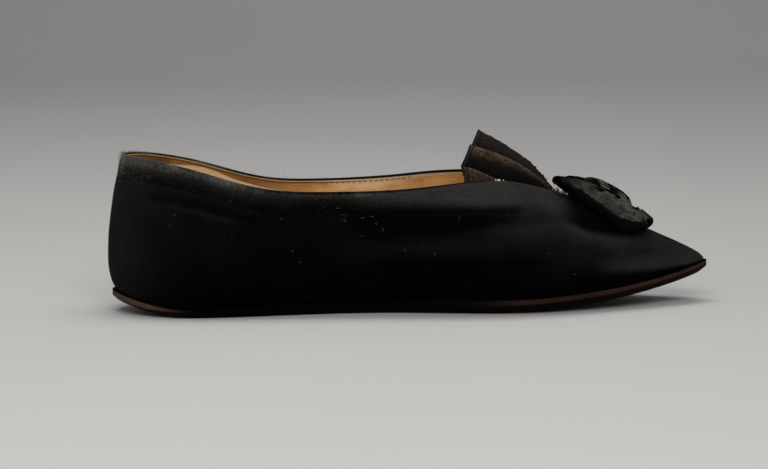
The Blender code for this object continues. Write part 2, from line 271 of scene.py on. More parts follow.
def slab(grid, thick):
    # a closed sheet of this thickness about an open grid, its faces, and its flat sizes in millimetres
    rows, cols = grid.shape[:2]
    normals = gridNormals(grid)
    half = np.asarray(thick)[..., None] / 2.0
    faces, _ = gridFaces(rows, cols)
    index = np.arange(rows * cols).reshape(rows, cols)
    rim = np.concatenate([index[:-1, 0], index[-1, :-1], index[:0:-1, -1], index[0, :0:-1]])
    after = np.roll(rim, -1)
    edge = np.stack([rim, after, after + rows * cols, rim + rows * cols], axis=1)
    points = np.concatenate([grid + half * normals, grid - half * normals]).reshape(-1, 3)
    across = np.linalg.norm(np.diff(grid, axis=1, prepend=grid[:, :1]), axis=-1).cumsum(axis=1)
    along = np.linalg.norm(np.diff(grid, axis=0, prepend=grid[:1]), axis=-1).cumsum(axis=0)
    flat = np.broadcast_arrays(across[-1:], along.mean(axis=1, keepdims=True))
    flat = np.tile(np.stack(flat, axis=-1).reshape(-1, 2), (2, 1))
    allFaces = np.concatenate([faces, faces[:, ::-1] + rows * cols, edge])
    return points, allFaces, flat[allFaces]


def bothFaces(marks):
    # the same marks on both faces of a slab
    return {key: np.tile(np.ravel(values), 2) for key, values in marks.items()}


def tubes(lines, radius, sides):
    # closed tubes along many lines of equal point count: lines (count, steps, 3), radius (count, steps)
    count, steps = lines.shape[:2]
    ahead = unit(np.gradient(lines, axis=1))
    helper = np.where(np.abs(ahead[..., 2:]) > 0.9, np.array([1.0, 0.0, 0.0]), up)
    first = unit(np.cross(ahead, helper))
    second = np.cross(ahead, first)
    turns = np.linspace(0.0, 2 * math.pi, sides, endpoint=False)
    ring = first[:, :, None] * np.cos(turns)[:, None] + second[:, :, None] * np.sin(turns)[:, None]
    points = lines[:, :, None] + ring * np.asarray(radius)[..., None, None]
    faces, _ = gridFaces(steps, sides, wrapCols=True)
    shift = np.arange(count)[:, None, None] * steps * sides
    quads = (faces[None] + shift).reshape(-1, 4).tolist()
    ends = np.stack([np.arange(sides), np.arange(sides) + (steps - 1) * sides])
    caps = (ends[None] + shift).reshape(-1, sides).tolist()
    return points.reshape(-1, 3), quads + caps


# shader sums as Python sums

class Value:
    def __init__(self, tree, socket):
        self.tree = tree
        self.socket = socket

    def math(self, operation, *terms):
        node = self.tree.nodes.new("ShaderNodeMath")
        node.operation = operation
        for slotIn, term in zip(node.inputs, terms):
            link(self.tree, slotIn, term)
        return Value(self.tree, node.outputs[0])

    def __add__(self, other):
        return self.math("ADD", self, other)

    def __radd__(self, other):
        return self.math("ADD", other, self)

    def __sub__(self, other):
        return self.math("SUBTRACT", self, other)

    def __rsub__(self, other):
        return self.math("SUBTRACT", other, self)

    def __mul__(self, other):
        return self.math("MULTIPLY", self, other)

    def sine(self):
        return self.math("SINE", self)


def link(tree, slotIn, term):
    if isinstance(term, Value):
        tree.links.new(term.socket, slotIn)
    elif isinstance(term, (tuple, list)) and slotIn.type == "RGBA" and len(term) == 3:
        slotIn.default_value = (*term, 1.0)
    else:
        slotIn.default_value = term


class Finish:
    def __init__(self, name, **constants):
        self.material = bpy.data.materials.new(name)
        self.material.use_nodes = True
        self.tree = self.material.node_tree
        self.shader = self.tree.nodes["Principled BSDF"]
        self.feed(**constants)

    def node(self, kind, settings=None, sockets=None, out=0):
        made = self.tree.nodes.new("ShaderNode" + kind)
        for key, value in (settings or {}).items():
            setattr(made, key, value)
        for key, term in (sockets or {}).items():
            link(self.tree, made.inputs[key], term)
        return Value(self.tree, made.outputs[out])

    def mark(self, name):
        return self.node("Attribute", {"attribute_name": name}, out=2)

    def marks(self, *names):
        return [self.mark(name) for name in names]

    def sizes(self):
        # the piece's own flat sizes in millimetres: across, along
        place = self.node("UVMap", {"uv_map": "size"})
        return (self.node("SeparateXYZ", sockets={0: place}, out=k) for k in (0, 1))

    def place(self):
        return self.node("TexCoord", out=3)

    def vector(self, x, y, z=0.0):
        return self.node("CombineXYZ", sockets={0: x, 1: y, 2: z})

    def noise(self, vector, scale, detail, rough):
        sockets = {"Vector": vector, "Scale": scale, "Detail": detail, "Roughness": rough}
        return self.node("TexNoise", sockets=sockets)

    def stretch(self, vector, scale, spin=0.0):
        # coordinates drawn out along an axis, turned about z
        return self.node("Mapping", sockets={"Vector": vector, "Rotation": (0.0, 0.0, spin), "Scale": scale})

    def waves(self, value, pitch, drift):
        # even ribs from 0 to 1 that wander by drift
        return (value * (2 * math.pi / pitch) + drift).sine() * 0.5 + 0.5

    def step(self, value, low, high):
        return self.node("MapRange", {"interpolation_type": "SMOOTHSTEP"}, {0: value, 1: low, 2: high})

    def band(self, value, low, full, end, gone):
        # 1 from full to end, 0 before low and past gone
        return self.step(value, low, full) * (1.0 - self.step(value, end, gone))

    def mix(self, share, first, second, blend="MIX"):
        settings = {"data_type": "RGBA", "blend_type": blend}
        return self.node("Mix", settings, {0: share, 6: first, 7: second}, out=2)

    def shade(self, colour, factor):
        # a colour made darker or lighter by a value
        grey = self.node("CombineColor", sockets={0: factor, 1: factor, 2: factor})
        return self.mix(1.0, colour, grey, "MULTIPLY")

    def bump(self, height, distance, strength):
        sockets = {"Height": height, "Distance": distance, "Strength": strength}
        self.feed(Normal=self.node("Bump", sockets=sockets))

    def feed(self, **sockets):
        for key, term in sockets.items():
            link(self.tree, self.shader.inputs[key.replace("_", " ")], term)
        return self.material


# upper: black wool cloth over the last

cloth = {
    "stations": 520, "rows": 78, "insideRows": 44, "rimSteps": 9, "thick": 0.84, "rim": 0.42,
    # side (-1 faces the camera), height of the ridge or depth of the trough, half width, line of (x, z)
    "creases": [
        (-1, -0.5, 2.1, [(9.0, 48.0), (19.6, 46.6), (27.6, 45.2), (35.3, 43.5), (42.9, 41.4), (55.6, 38.4),
                         (68.0, 36.8)]),
        (-1, 0.3, 8.0, [(12.0, 40.0), (24.0, 38.5), (36.0, 35.0), (50.0, 30.0)]),
        (-1, -0.85, 2.2, [(98.0, 42.6), (115.8, 41.6), (132.2, 42.3), (144.0, 42.5), (156.2, 42.5),
                          (163.0, 42.2), (169.0, 41.4)]),
        (-1, -0.75, 4.6, [(102.0, 38.6), (118.0, 37.8), (134.0, 38.0), (150.0, 38.6), (164.0, 39.2)]),
        (-1, 0.6, 3.2, [(120.0, 47.0), (140.6, 48.8), (152.9, 48.3), (165.4, 46.6), (174.0, 44.5)]),
        (-1, 0.8, 5.4, [(80.0, 26.4), (97.0, 26.2), (112.5, 26.4), (124.0, 26.6), (134.5, 26.9),
                        (147.5, 27.8), (159.7, 29.8), (172.9, 33.2), (184.0, 35.0)]),
        (-1, -0.8, 5.0, [(92.0, 19.5), (112.6, 19.0), (132.0, 17.0), (151.5, 18.8), (167.4, 21.6),
                         (184.0, 23.0)]),
        (-1, 0.34, 4.2, [(178.0, 15.0), (192.0, 15.8), (205.0, 16.6), (219.0, 17.8), (234.0, 19.0)]),
        (-1, 0.3, 1.8, [(206.0, 28.6), (217.0, 26.0), (228.0, 22.8), (237.0, 20.4)]),
        (-1, -0.25, 3.4, [(186.0, 21.6), (199.0, 21.4), (212.0, 21.0), (224.0, 20.4)]),
        (1, -0.9, 2.5, [(13.0, 49.5), (22.0, 47.5), (34.0, 45.5), (47.0, 41.0), (60.0, 39.0)]),
        (1, 0.5, 6.0, [(12.0, 41.0), (26.0, 39.0), (44.0, 35.0)]),
        (1, -1.1, 2.7, [(102.0, 42.0), (122.0, 41.8), (140.0, 42.6), (156.0, 42.0), (170.0, 40.6)]),
        (1, 1.1, 5.0, [(88.0, 27.0), (112.0, 28.6), (136.0, 30.8), (158.0, 34.6), (178.0, 37.6)]),
        (1, -0.7, 5.5, [(96.0, 18.6), (124.0, 17.4), (150.0, 18.4), (172.0, 21.4)]),
        (1, 0.6, 2.9, [(188.0, 18.8), (204.0, 19.6), (222.0, 19.4), (235.0, 18.8)]),
    ],
    "lumps": [(24.0, 0.32, 1), (8.0, 0.12, 2)],  # size, height, seed
    "roll": (3.0, 2.1, 0.42), "rollHollow": (7.6, 2.2, -0.3),  # below the edge: distance, width, height
    "backSeam": (0.0, 0.45, 0.22),  # off the middle, half width, height
    "farEdge": (44.0, 20.0, 0.9),  # where the far edge stands higher: x, half length, height
    "darkest": 0.96,  # the largest share of its grey that painted shade takes back to black
    # painted light: the cloth is greyer the more it faces up
    "litBySlope": [(-0.3, 0.0), (-0.1, 0.008), (0.0, 0.024), (0.3, 0.078), (0.45, 0.24), (0.57, 0.62),
                    (0.8, 0.9)],
    # painted shade, where the cloth is kept black: half widths and shares at both ends, line of (x, z)
    "shadedZones": [((6.2, 4.0), (1.25, 0.62), [(98.0, 36.8), (118.0, 35.8), (134.0, 36.0), (148.0, 38.2),
                                              (160.0, 39.2), (168.0, 38.4), (180.0, 36.4)]),
                  ((6.0, 6.0), (0.4, 0.4), [(168.0, 44.5), (177.0, 43.5)]),
                  ((4.5, 4.5), (0.35, 0.35), [(141.0, 31.5), (148.0, 30.0), (155.0, 29.0)]),
                  ((6.0, 6.0), (0.5, 0.4), [(32.0, 40.0), (40.0, 36.5), (52.0, 32.0)])],
    # and painted shadow under the bow, above this line of (x, z), coming in over these x
    "bowShade": [(170.0, 40.0), (178.0, 37.6), (182.5, 34.6), (187.0, 32.2), (191.0, 30.9), (199.5, 29.2),
                 (208.0, 28.6), (214.5, 29.4), (218.0, 40.0)],
    "bowShadeFrom": (175.0, 186.0),
}


def lineDistance(x, z, line):
    # distance to a line of (x, z) points, and how far along it the nearest place is, from 0 to 1
    line = np.array(line, float)
    steps = np.linalg.norm(np.diff(line, axis=0), axis=1)
    starts = np.concatenate([[0.0], steps.cumsum()])
    best, share = np.full(x.shape, 1e9), np.zeros(x.shape)
    for a, b, start, length in zip(line, line[1:], starts, steps):
        t = np.clip(((x - a[0]) * (b[0] - a[0]) + (z - a[1]) * (b[1] - a[1])) / length ** 2, 0.0, 1.0)
        away = np.hypot(x - a[0] - t * (b[0] - a[0]), z - a[1] - t * (b[1] - a[1]))
        nearer = away < best
        best = np.where(nearer, away, best)
        share = np.where(nearer, (start + t * length) / starts[-1], share)
    return best, share


def relief(points, rise, fromTop):
    # how far the cloth stands out from the last, in millimetres
    x, y, z = points[..., 0], points[..., 1], points[..., 2]
    height = np.zeros(x.shape)
    for side, depth, width, line in cloth["creases"]:
        away, share = lineDistance(x, z, line)
        ends = np.sin(math.pi * np.clip(share, 0.02, 0.98)) ** 0.8
        height += depth * hump(away, 0.0, width) * ends * smooth(side * y, 0.0, 5.0)
    for size, amount, seed in cloth["lumps"]:
        height += amount * flecks(points, size, seed)
    quarters = smooth(x, 150.0, 118.0) * (0.3 + 0.7 * smooth(x, 4.0, 24.0))
    for below, width, amount in (cloth["roll"], cloth["rollHollow"]):
        height += amount * hump(fromTop, below, width) * quarters
    middle, width, amount = cloth["backSeam"]
    height += amount * hump(np.abs(y), middle, width) * smooth(x, 30.0, 12.0)
    return height * smooth(rise, 0.0, 0.1) * smooth(fromTop, 0.0, 2.0)


# painted shade from one zone, strongest along its line
def zoneShade(points, zone):
    widths, shares, line = zone
    away, along = lineDistance(points[..., 0], points[..., 2], line)
    width, share = (first + (last - first) * along for first, last in (widths, shares))
    return np.minimum(share * hump(away, 0.0, width), cloth["darkest"])


def bowShade(points):
    low = np.interp(points[..., 0], *np.array(cloth["bowShade"]).T)
    shade = cloth["darkest"] * smooth(points[..., 2] - low, -1.9, 1.9)
    return shade * smooth(points[..., 0], *cloth["bowShadeFrom"])


def fadeAndPaintedLight(points, slope, stand, fromTop):
    # how far the cloth goes from black to grey, from 0 to 1, part fade and part painted light: upper sides
    # most, then heel, collar and toe; painted highlight on crests, painted shade in troughs, on the mid
    # walls, in shaded zones and under the bow
    x, z = points[..., 0], points[..., 2]
    # painted highlight on crests and painted shade in troughs
    crests, troughs = 0.1 * np.maximum(stand, 0.0), 0.85 * smooth(-stand, 0.1, 0.55)
    # painted shade down the middle of the side walls
    flank = 0.6 * hump(x, 76.0, 40.0) * smooth(fromTop, 3.0, 9.0)
    vamp = 0.05 * smooth(x, 135.0, 165.0) * smooth(z, 13.0, 24.0)
    # the toe greyer, with a lighter band along its side, and painted shade where it faces down
    toe = (0.29 + 0.18 * hump(z, 17.0, 3.5)) * smooth(slope, -0.25, 0.1)
    # painted sheen on the back of the heel
    heel = 0.13 * smooth(x, 22.0, 2.0) + 0.02 * smooth(x, 34.0, 18.0)
    collar = 0.15 * hump(fromTop, 3.0, 2.6) * smooth(x, 95.0, 35.0)
    faded = np.interp(slope, *np.array(cloth["litBySlope"]).T) + crests
    faded = faded * (1.0 - flank) + vamp
    faded += (toe - faded) * smooth(x, 186.0, 214.0)
    faded = (faded + heel + collar) * (1.0 - troughs)
    for zone in cloth["shadedZones"]:
        faded *= 1.0 - zoneShade(points, zone)
    # painted light on the roll round the throat, even from the edge down to its trough
    rollTop = np.interp(x, [112.0, 148.0], [48.5, 45.2])
    roll = smooth(z, 41.4, rollTop) * smooth(x, 86.0, 116.0) * smooth(x, 178.0, 162.0)
    faded += (0.64 - 0.1 * smooth(slope, 0.2, 0.6) - faded) * roll
    return np.clip(faded * (1.0 - bowShade(points)), 0.0, 1.0)


def wallGrid(stations, rows):
    # a loop right round the shoe; rows: (rise or None, millimetres below the edge, depth in from the face)
    around = np.linspace(-math.pi, math.pi, stations, endpoint=False) + math.pi / stations
    lengths = wallLength(around)[:, None]
    rises = np.concatenate([rise + 0 * lengths if rise is not None else 1.0 - below / lengths
                            for rise, below, _ in rows], axis=1)
    depth = np.array([row[2] for row in rows])[None, :]
    fromTop = (1.0 - rises) * lengths
    around = around[:, None] + 0 * rises
    points, normals = wallPoint(around, rises), wallNormal(around, rises)
    stand = relief(points, rises, fromTop)
    points = points + normals * (stand - depth)[..., None]
    farX, farLong, farHigh = cloth["farEdge"]
    farQuarter = hump(points[..., 0], farX, farLong) * smooth(points[..., 1], 4.0, 14.0)
    points[..., 2] += farHigh * farQuarter * smooth(fromTop, 14.0, 0.0)
    facing = gridNormals(points, wrapRows=True)
    plainRow = 20  # on the open wall, to tell which way the grid faces
    facing = facing * np.sign((facing[:, plainRow] * normals[:, plainRow]).sum())
    faded = fadeAndPaintedLight(points, facing[..., 2], stand, fromTop)
    marks = {"fromTop": fromTop, "shoeX": points[..., 0], "faded": faded, "underBowShade": bowShade(points)}
    # millimetres round the shoe at a third of the height, and up the wall
    middle = points[:, len(rows) // 3]
    girth = reachAlong(np.concatenate([middle, middle[:1]]))
    high = np.concatenate([rises * lengths, (rises * lengths)[:1]])
    faces, corners = gridFaces(stations, len(rows), wrapRows=True, wrapCols=True)
    i, j = corners[..., 0], np.minimum(corners[..., 1], len(rows) - 1)
    uv = np.stack([girth[i], high[i, j]], axis=-1)
    return points, facing, faces, uv, marks


def makeClothFinish():
    look = {"black": (0.0011, 0.0010, 0.0010), "faded": (0.052, 0.050, 0.0465), "dust": (0.145, 0.136, 0.122),
            "lint": (0.20, 0.19, 0.175), "thread": 0.5, "dustReach": 4.6}
    f = Finish("wool_cloth", Sheen_Weight=0.012, Sheen_Roughness=0.3, Specular_IOR_Level=0.015)
    across, rise = f.sizes()
    spot = f.place()
    fromTop, shoeX, faded, underBowShade = f.marks("fromTop", "shoeX", "faded", "underBowShade")
    warp = (across * (2 * math.pi / look["thread"])).sine()
    weft = (rise * (2 * math.pi / look["thread"])).sine()
    weave = warp * weft * 0.5 + 0.5
    slubs = f.noise(f.vector(across * 0.16, rise * 2.4), 1.0, 3.0, 0.6)
    streaks = f.noise(f.vector(across * 0.3, rise * 1.1), 1.0, 4.0, 0.65)
    patches = f.noise(spot, 60.0, 3.0, 0.5)
    fuzz = f.noise(spot, 1300.0, 4.0, 0.7)
    # grey from fade and painted light, darkened further by painted shadow under the bow
    colour = f.mix(faded * (0.5 + patches), look["black"], look["faded"])
    colour = f.shade(colour, (0.30 + weave * 0.25 + slubs * 0.45 + fuzz * 0.65) * (1.0 - underBowShade * 0.6))
    colour = f.shade(colour, 0.5 + streaks)
    edge = 1.0 - f.step(fromTop, 0.2, look["dustReach"] - f.step(shoeX, 30.0, 75.0) * 1.3)
    quarter = 1.0 - f.step(shoeX, 55.0, 140.0) * 0.8
    dust = edge * quarter * f.step(fuzz + patches * 1.1, 0.94, 1.3)
    colour = f.mix(dust * 0.7, colour, look["dust"])
    binding = (1.0 - f.step(fromTop, 0.6, 1.5)) * f.step(shoeX, 50.0, 80.0)
    colour = f.shade(colour, 1.0 - binding * 0.75)
    speck = f.step(fuzz, 0.70, 0.76) * f.step(patches, 0.48, 0.7)
    colour = f.mix(speck * 0.17, colour, look["lint"])
    f.bump(weave * 0.35 + slubs * 0.3 + fuzz * 0.6, 0.00014, 0.7)
    return f.feed(Base_Color=colour, Roughness=0.84 + fuzz * 0.14)


def makeUpper():
    rim = cloth["rim"]
    rows = [(rise, None, 0.0) for rise in np.linspace(0.0, 0.985, cloth["rows"])]
    rows += [(None, rim * (1.0 - math.sin(swing)), rim * (1.0 - math.cos(swing)))
             for swing in np.linspace(0.0, math.pi, cloth["rimSteps"])]
    rows += [(None, 1.2, cloth["thick"])]
    rows += [(rise, None, cloth["thick"]) for rise in np.linspace(0.93, 0.0, cloth["insideRows"])]
    points, facing, faces, uv, marks = wallGrid(cloth["stations"], rows)
    piece = addPiece("upper_cloth", points, faces, makeClothFinish(), ["upper"], uv, marks)
    return piece, points[:, :cloth["rows"]].reshape(-1, 3), facing[:, :cloth["rows"]].reshape(-1, 3)


# lining: tan kid inside the quarters and vamp, with a pale patch round the heel

lining = {
    "stations": 360, "rows": 60, "outsideRows": 44, "outer": 0.88, "inner": 1.54,
    "edgeBelow": 0.5, "bead": 0.3,
    # x, how far below the edge the pale patch starts
    "heelPatch": [(6.0, 3.4), (28.0, 3.3), (33.0, 2.4), (39.0, 1.85), (44.0, 1.95), (51.0, 3.1), (59.0, 3.6),
                  (71.0, 4.4), (83.0, 6.0), (96.0, 7.5), (110.0, 10.5), (120.0, 20.0)],
}


def makeLiningFinish():
    look = {"kid": (0.58, 0.275, 0.088), "light": (0.78, 0.455, 0.17), "pale": (0.86, 0.63, 0.36),
            "brown": (0.110, 0.035, 0.0075), "seam": (0.10, 0.045, 0.02), "grime": (0.20, 0.095, 0.04),
            "cloth": (0.003, 0.0028, 0.0028), "paintedSheen": (0.96, 0.75, 0.46)}
    f = Finish("lining_kid", Specular_IOR_Level=0.4)
    across, rise = f.sizes()
    spot = f.place()
    fromTop, shoeX, patch = f.marks("fromTop", "shoeX", "patch")
    mottle = f.noise(spot, 90.0, 4.0, 0.6)
    wrinkle = f.noise(f.vector(across * 0.09 + rise * 0.1, rise * 0.32 - across * 0.05), 1.0, 3.0, 0.5)
    grain = f.node("TexVoronoi", {"feature": "F1"}, {"Vector": spot, "Scale": 2600.0})
    # painted light toward the throat
    forward = f.step(shoeX, 126.0, 146.0)
    colour = f.mix(f.step(mottle + forward * 0.4, 0.35, 0.72), look["kid"], look["light"])
    # painted sheen on the wrinkles, strongest near the top edge
    paintedSheen = f.band(shoeX + rise * 0.5, 112.0, 122.0, 136.0, 154.0)
    topward = 1.0 - f.step(fromTop, 1.5, 7.0)
    paintedSheen = paintedSheen * f.step(wrinkle, 0.35, 0.6) * (0.3 + topward * 0.65)
    colour = f.mix(paintedSheen, colour, look["pale"])
    band = (1.0 - f.step(shoeX, 58.0, 88.0)) * (0.6 + f.step(mottle, 0.4, 0.65) * 0.4)
    colour = f.mix(band * 0.92, colour, look["brown"])
    inPatch = f.step(patch, -0.12, 0.12)
    colour = f.mix(inPatch * 0.92, colour, look["pale"])
    seam = f.band(patch, -0.35, -0.05, 0.0, 0.25)
    colour = f.mix(seam * 0.5, colour, look["seam"])
    # painted light toward the throat, strongest at the top edge
    colour = f.shade(colour, 1.0 + forward * topward * 0.35)
    # the top edge is pale, with a painted highlight along it, more so toward the throat
    reach = f.step(shoeX, 84.0, 98.0)
    wide = reach * (1.0 - f.step(shoeX, 114.0, 132.0) * 0.6)
    edge = 1.0 - f.step(fromTop, wide * 1.6 + 0.72, wide * 4.4 + 0.86)
    colour = f.mix(edge * 0.9, colour, f.mix(reach, look["light"], look["paintedSheen"]))
    turnedIn = 1.0 - f.step(fromTop, 0.56, 0.66)
    colour = f.mix(turnedIn, colour, look["cloth"])
    # painted shade in the groove just below the edge
    groove = f.band(fromTop, 1.0, 1.2, 1.5, 1.9) * (1.0 - f.step(shoeX, 92.0, 112.0) * 0.9)
    colour = f.mix(groove * 0.75, colour, look["brown"])
    grime = f.step(mottle + wrinkle * 0.4, 0.72, 1.0) * f.step(fromTop, 14.0, 40.0)
    colour = f.mix(grime * 0.6, colour, look["grime"])
    f.bump(wrinkle * 1.6 + grain * 0.12 + mottle * 0.3 + inPatch * 0.5 - groove * 0.5, 0.0005, 0.7)
    return f.feed(Base_Color=colour, Roughness=0.36 + mottle * 0.22)


def makeLining():
    bead = lining["bead"]
    middle, half = (lining["inner"] + lining["outer"]) / 2, (lining["inner"] - lining["outer"]) / 2
    rows = [(rise, None, lining["inner"]) for rise in np.linspace(0.0, 0.96, lining["rows"])]
    rows += [(None, lining["edgeBelow"] + bead * (1.0 - math.sin(swing)), middle + half * math.cos(swing))
             for swing in np.linspace(0.0, math.pi, cloth["rimSteps"])]
    rows += [(rise, None, lining["outer"]) for rise in np.linspace(0.94, 0.0, lining["outsideRows"])]
    points, _, faces, uv, marks = wallGrid(lining["stations"], rows)
    edgeX, below = np.array(lining["heelPatch"]).T
    marks["patch"] = marks["fromTop"] - np.interp(points[..., 0], edgeX, below, right=60.0)
    return addPiece("upper_lining", points, faces, makeLiningFinish(), ["upper"], uv, marks)


# sole and insole

sole = {
    "stations": 220, "across": 12, "bevel": 0.35, "wobble": 0.12,
    # how worn and how lit each loop of the edge is, from the tread up: worn leather with painted light on the
    # upper loops, painted shade on the undercut
    "edgeWearAndLight": [0.0, 0.0, 0.1, 0.4, 1.0, 1.0, 1.0, 0.9, 0.6, 0.05],
    "waist": (12.0, 34.0, 124.0, 160.0),  # painted shade where the upper overhangs the edge: where it starts and ends, each from and to
}
insole = {
    "thick": 1.4, "gap": 0.7, "stations": 150, "across": 10, "dent": 0.35,
    # hollows under heel, ball and toes: x, length, width, share of the dent
    "prints": [(34.0, 18.0, 13.0, 1.0), (158.0, 22.0, 20.0, 0.9), (200.0, 14.0, 13.0, 0.7)],
}


def plate(loops, across):
    # loops of half outlines stacked upwards (+y side), closed below and above by strips across the foot
    halves = np.stack(loops)
    whole = np.concatenate([halves, (halves * (1, -1, 1))[:, -2:0:-1]], axis=1)
    sideFaces, _ = gridFaces(len(loops), whole.shape[1], wrapCols=True)
    points, faces = [whole.reshape(-1, 3)], [sideFaces]
    shares = np.linspace(-1.0, 1.0, 2 * across + 1)
    for half in (halves[0], halves[-1]):
        cap = half[:, None] * np.where(np.arange(3) == 1, shares[:, None], 1.0)[None]
        capFaces, _ = gridFaces(*cap.shape[:2])
        faces.append(capFaces + sum(len(p) for p in points))
        points.append(cap.reshape(-1, 3))
    return np.concatenate(points), np.concatenate(faces)


def makeSoleFinish():
    look = {"leather": (0.0024, 0.0012, 0.0010), "worn": (0.076, 0.046, 0.035),
            "red": (0.016, 0.0062, 0.0044), "dark": (0.0012, 0.0009, 0.0009), "tread": (0.15, 0.092, 0.060)}
    f = Finish("sole_leather", Specular_IOR_Level=0.02)
    spot = f.place()
    side, under, waist, rise, shoeX = f.marks("side", "under", "waist", "rise", "shoeX")
    grain = f.noise(spot, 700.0, 5.0, 0.6)
    patches = f.noise(spot, 70.0, 4.0, 0.6)
    fibres = f.noise(f.stretch(spot, (60.0, 60.0, 1400.0)), 1.0, 3.0, 0.6)
    scratches = f.noise(f.stretch(spot, (45.0, 700.0, 45.0), 0.35), 1.0, 3.0, 0.6)
    colour = f.mix(f.step(patches, 0.38, 0.66), look["leather"], f.shade(look["leather"], 1.4))
    colour = f.shade(colour, 0.7 + fibres * 0.6)
    colour = f.mix(side * 0.8, colour, look["red"])
    # painted light on the upper part of the edge at the toe and the heel, mottled like worn leather
    toward = f.step(shoeX, 140.0, 170.0)
    strip = f.step(rise, 0.62, 0.72) * toward * 0.62
    heelStrip = f.step(rise * 34.0 - shoeX, -6.0, 2.0) * (1.0 - f.step(rise, 0.84, 0.93)) * (1.0 - toward)
    light = (strip + heelStrip * 1.5) * (0.35 + f.step(patches + grain * 0.5, 0.50, 0.90) * 0.65)
    colour = f.mix(side * light, colour, look["worn"])
    # painted shade along the waist, where the upper overhangs the edge
    colour = f.mix(waist * (1.0 - under) * 0.97, colour, look["dark"])
    tread = under * f.step(patches + scratches * 0.6, 0.62, 0.98)
    colour = f.mix(tread * 0.75, colour, look["tread"])
    colour = f.mix(f.step(grain + patches * 0.3, 0.78, 0.9) * 0.5, colour, look["dark"])
    f.bump(grain * 0.5 + fibres * 0.4 * (1.0 - under) + scratches * under * 0.8, 0.0003, 0.6)
    return f.feed(Base_Color=colour, Roughness=0.55 + grain * 0.25)


def makeSole():
    angle = np.linspace(0.0, math.pi, sole["stations"] + 1)
    drop = soleThick(angle) - shoe["soleSide"]
    wobble = sole["wobble"] * np.sin(angle * 47.0) * np.sin(angle * 13.0) * np.sin(angle) ** 0.5

    def loop(inset, above):
        return solePoint(angle, inset + wobble, above)

    def underLoop(extra, lift):
        edge = solePoint(angle, shoe["soleSlant"] * drop + extra, 0.0)
        edge[:, 2] = soleBottom(edge[:, 0]) + lift
        return edge

    b = sole["bevel"]
    low = -shoe["soleSide"]
    slope = shoe["soleSlant"] * b
    loops = [underLoop(0.8 * b, 0.0), underLoop(0.25 * b, 0.08), underLoop(-0.4 * slope, 0.4 * b),
             loop(slope, low - b), loop(0.2 * b, low - 0.1 * b), loop(0.0, low + 0.5 * b),
             loop(0.0, low * 0.5), loop(0.0, -b), loop(0.3 * b, -0.25 * b), loop(b, 0.0)]
    points, faces = plate(loops, sole["across"])
    x, z = points[:, 0], points[:, 2]
    side = np.zeros(len(points))
    side[:2 * sole["stations"] * len(loops)] = np.repeat(sole["edgeWearAndLight"], 2 * sole["stations"])
    start, full, end, gone = sole["waist"]
    # the edge lighter toward the heel and the toe: painted light
    side = side * (0.55 + 0.45 * (1.0 - smooth(x, 20.0, 60.0)) + 0.3 * smooth(x, 180.0, 232.0))
    rise = (z - soleBottom(x)) / np.interp(x, soleX(angle), soleThick(angle))
    marks = {"side": side, "under": (z - soleBottom(x) < 0.12).astype(float), "rise": rise, "shoeX": x,
             "waist": smooth(x, start, full) * (1.0 - smooth(x, end, gone))}
    return addPiece("sole_plate", points, faces, makeSoleFinish(), ["outsole"], None, marks)


def makeInsoleFinish():
    look = {"kid": (0.52, 0.34, 0.17), "worn": (0.24, 0.13, 0.062), "pale": (0.66, 0.50, 0.30)}
    f = Finish("insole_kid", Specular_IOR_Level=0.3)
    spot = f.place()
    tread = f.mark("tread")
    mottle = f.noise(spot, 85.0, 5.0, 0.6)
    grain = f.node("TexVoronoi", {"feature": "F1"}, {"Vector": spot, "Scale": 2200.0})
    creases = f.noise(f.stretch(spot, (260.0, 60.0, 60.0)), 1.0, 3.0, 0.5)
    colour = f.mix(f.step(mottle, 0.35, 0.7), look["kid"], look["pale"])
    colour = f.mix(tread * f.step(mottle + creases * 0.3, 0.35, 0.85), colour, look["worn"])
    f.bump(mottle * 0.5 + creases * 0.8 + grain * 0.15, 0.0004, 0.6)
    return f.feed(Base_Color=colour, Roughness=0.5 + mottle * 0.2)


def makeInsole():
    angle = np.linspace(0.0, math.pi, insole["stations"] + 1)
    inset = shoe["featherInset"] + shoe["wall"] + insole["gap"] - 0.35
    low, high = 0.05, shoe["fitGap"] + insole["thick"]
    loops = [solePoint(angle, inset + 0.2, low), solePoint(angle, inset, low + 0.3),
             solePoint(angle, inset, high - 0.35), solePoint(angle, inset + 0.12, high - 0.1),
             solePoint(angle, inset + 0.4, high)]
    points, faces = plate(loops, insole["across"])
    x, y = points[:, 0], points[:, 1]
    pressed = [deep * np.exp(-((x - at) / long) ** 2 - (y / wide) ** 2)
               for at, long, wide, deep in insole["prints"]]
    tread = np.clip(sum(pressed), 0.0, 1.0)
    # the foot's hollows stop short of the edge
    inside = (1.0 - np.linspace(-1.0, 1.0, 2 * insole["across"] + 1) ** 8) * np.sin(angle)[:, None] ** 0.3
    points[-inside.size:, 2] -= insole["dent"] * tread[-inside.size:] * inside.ravel()
    marks = {"tread": tread}
    return addPiece("insole_sock", points, faces, makeInsoleFinish(), ["insole"], None, marks)


# fan: a wide ribbed ribbon pleated at the throat

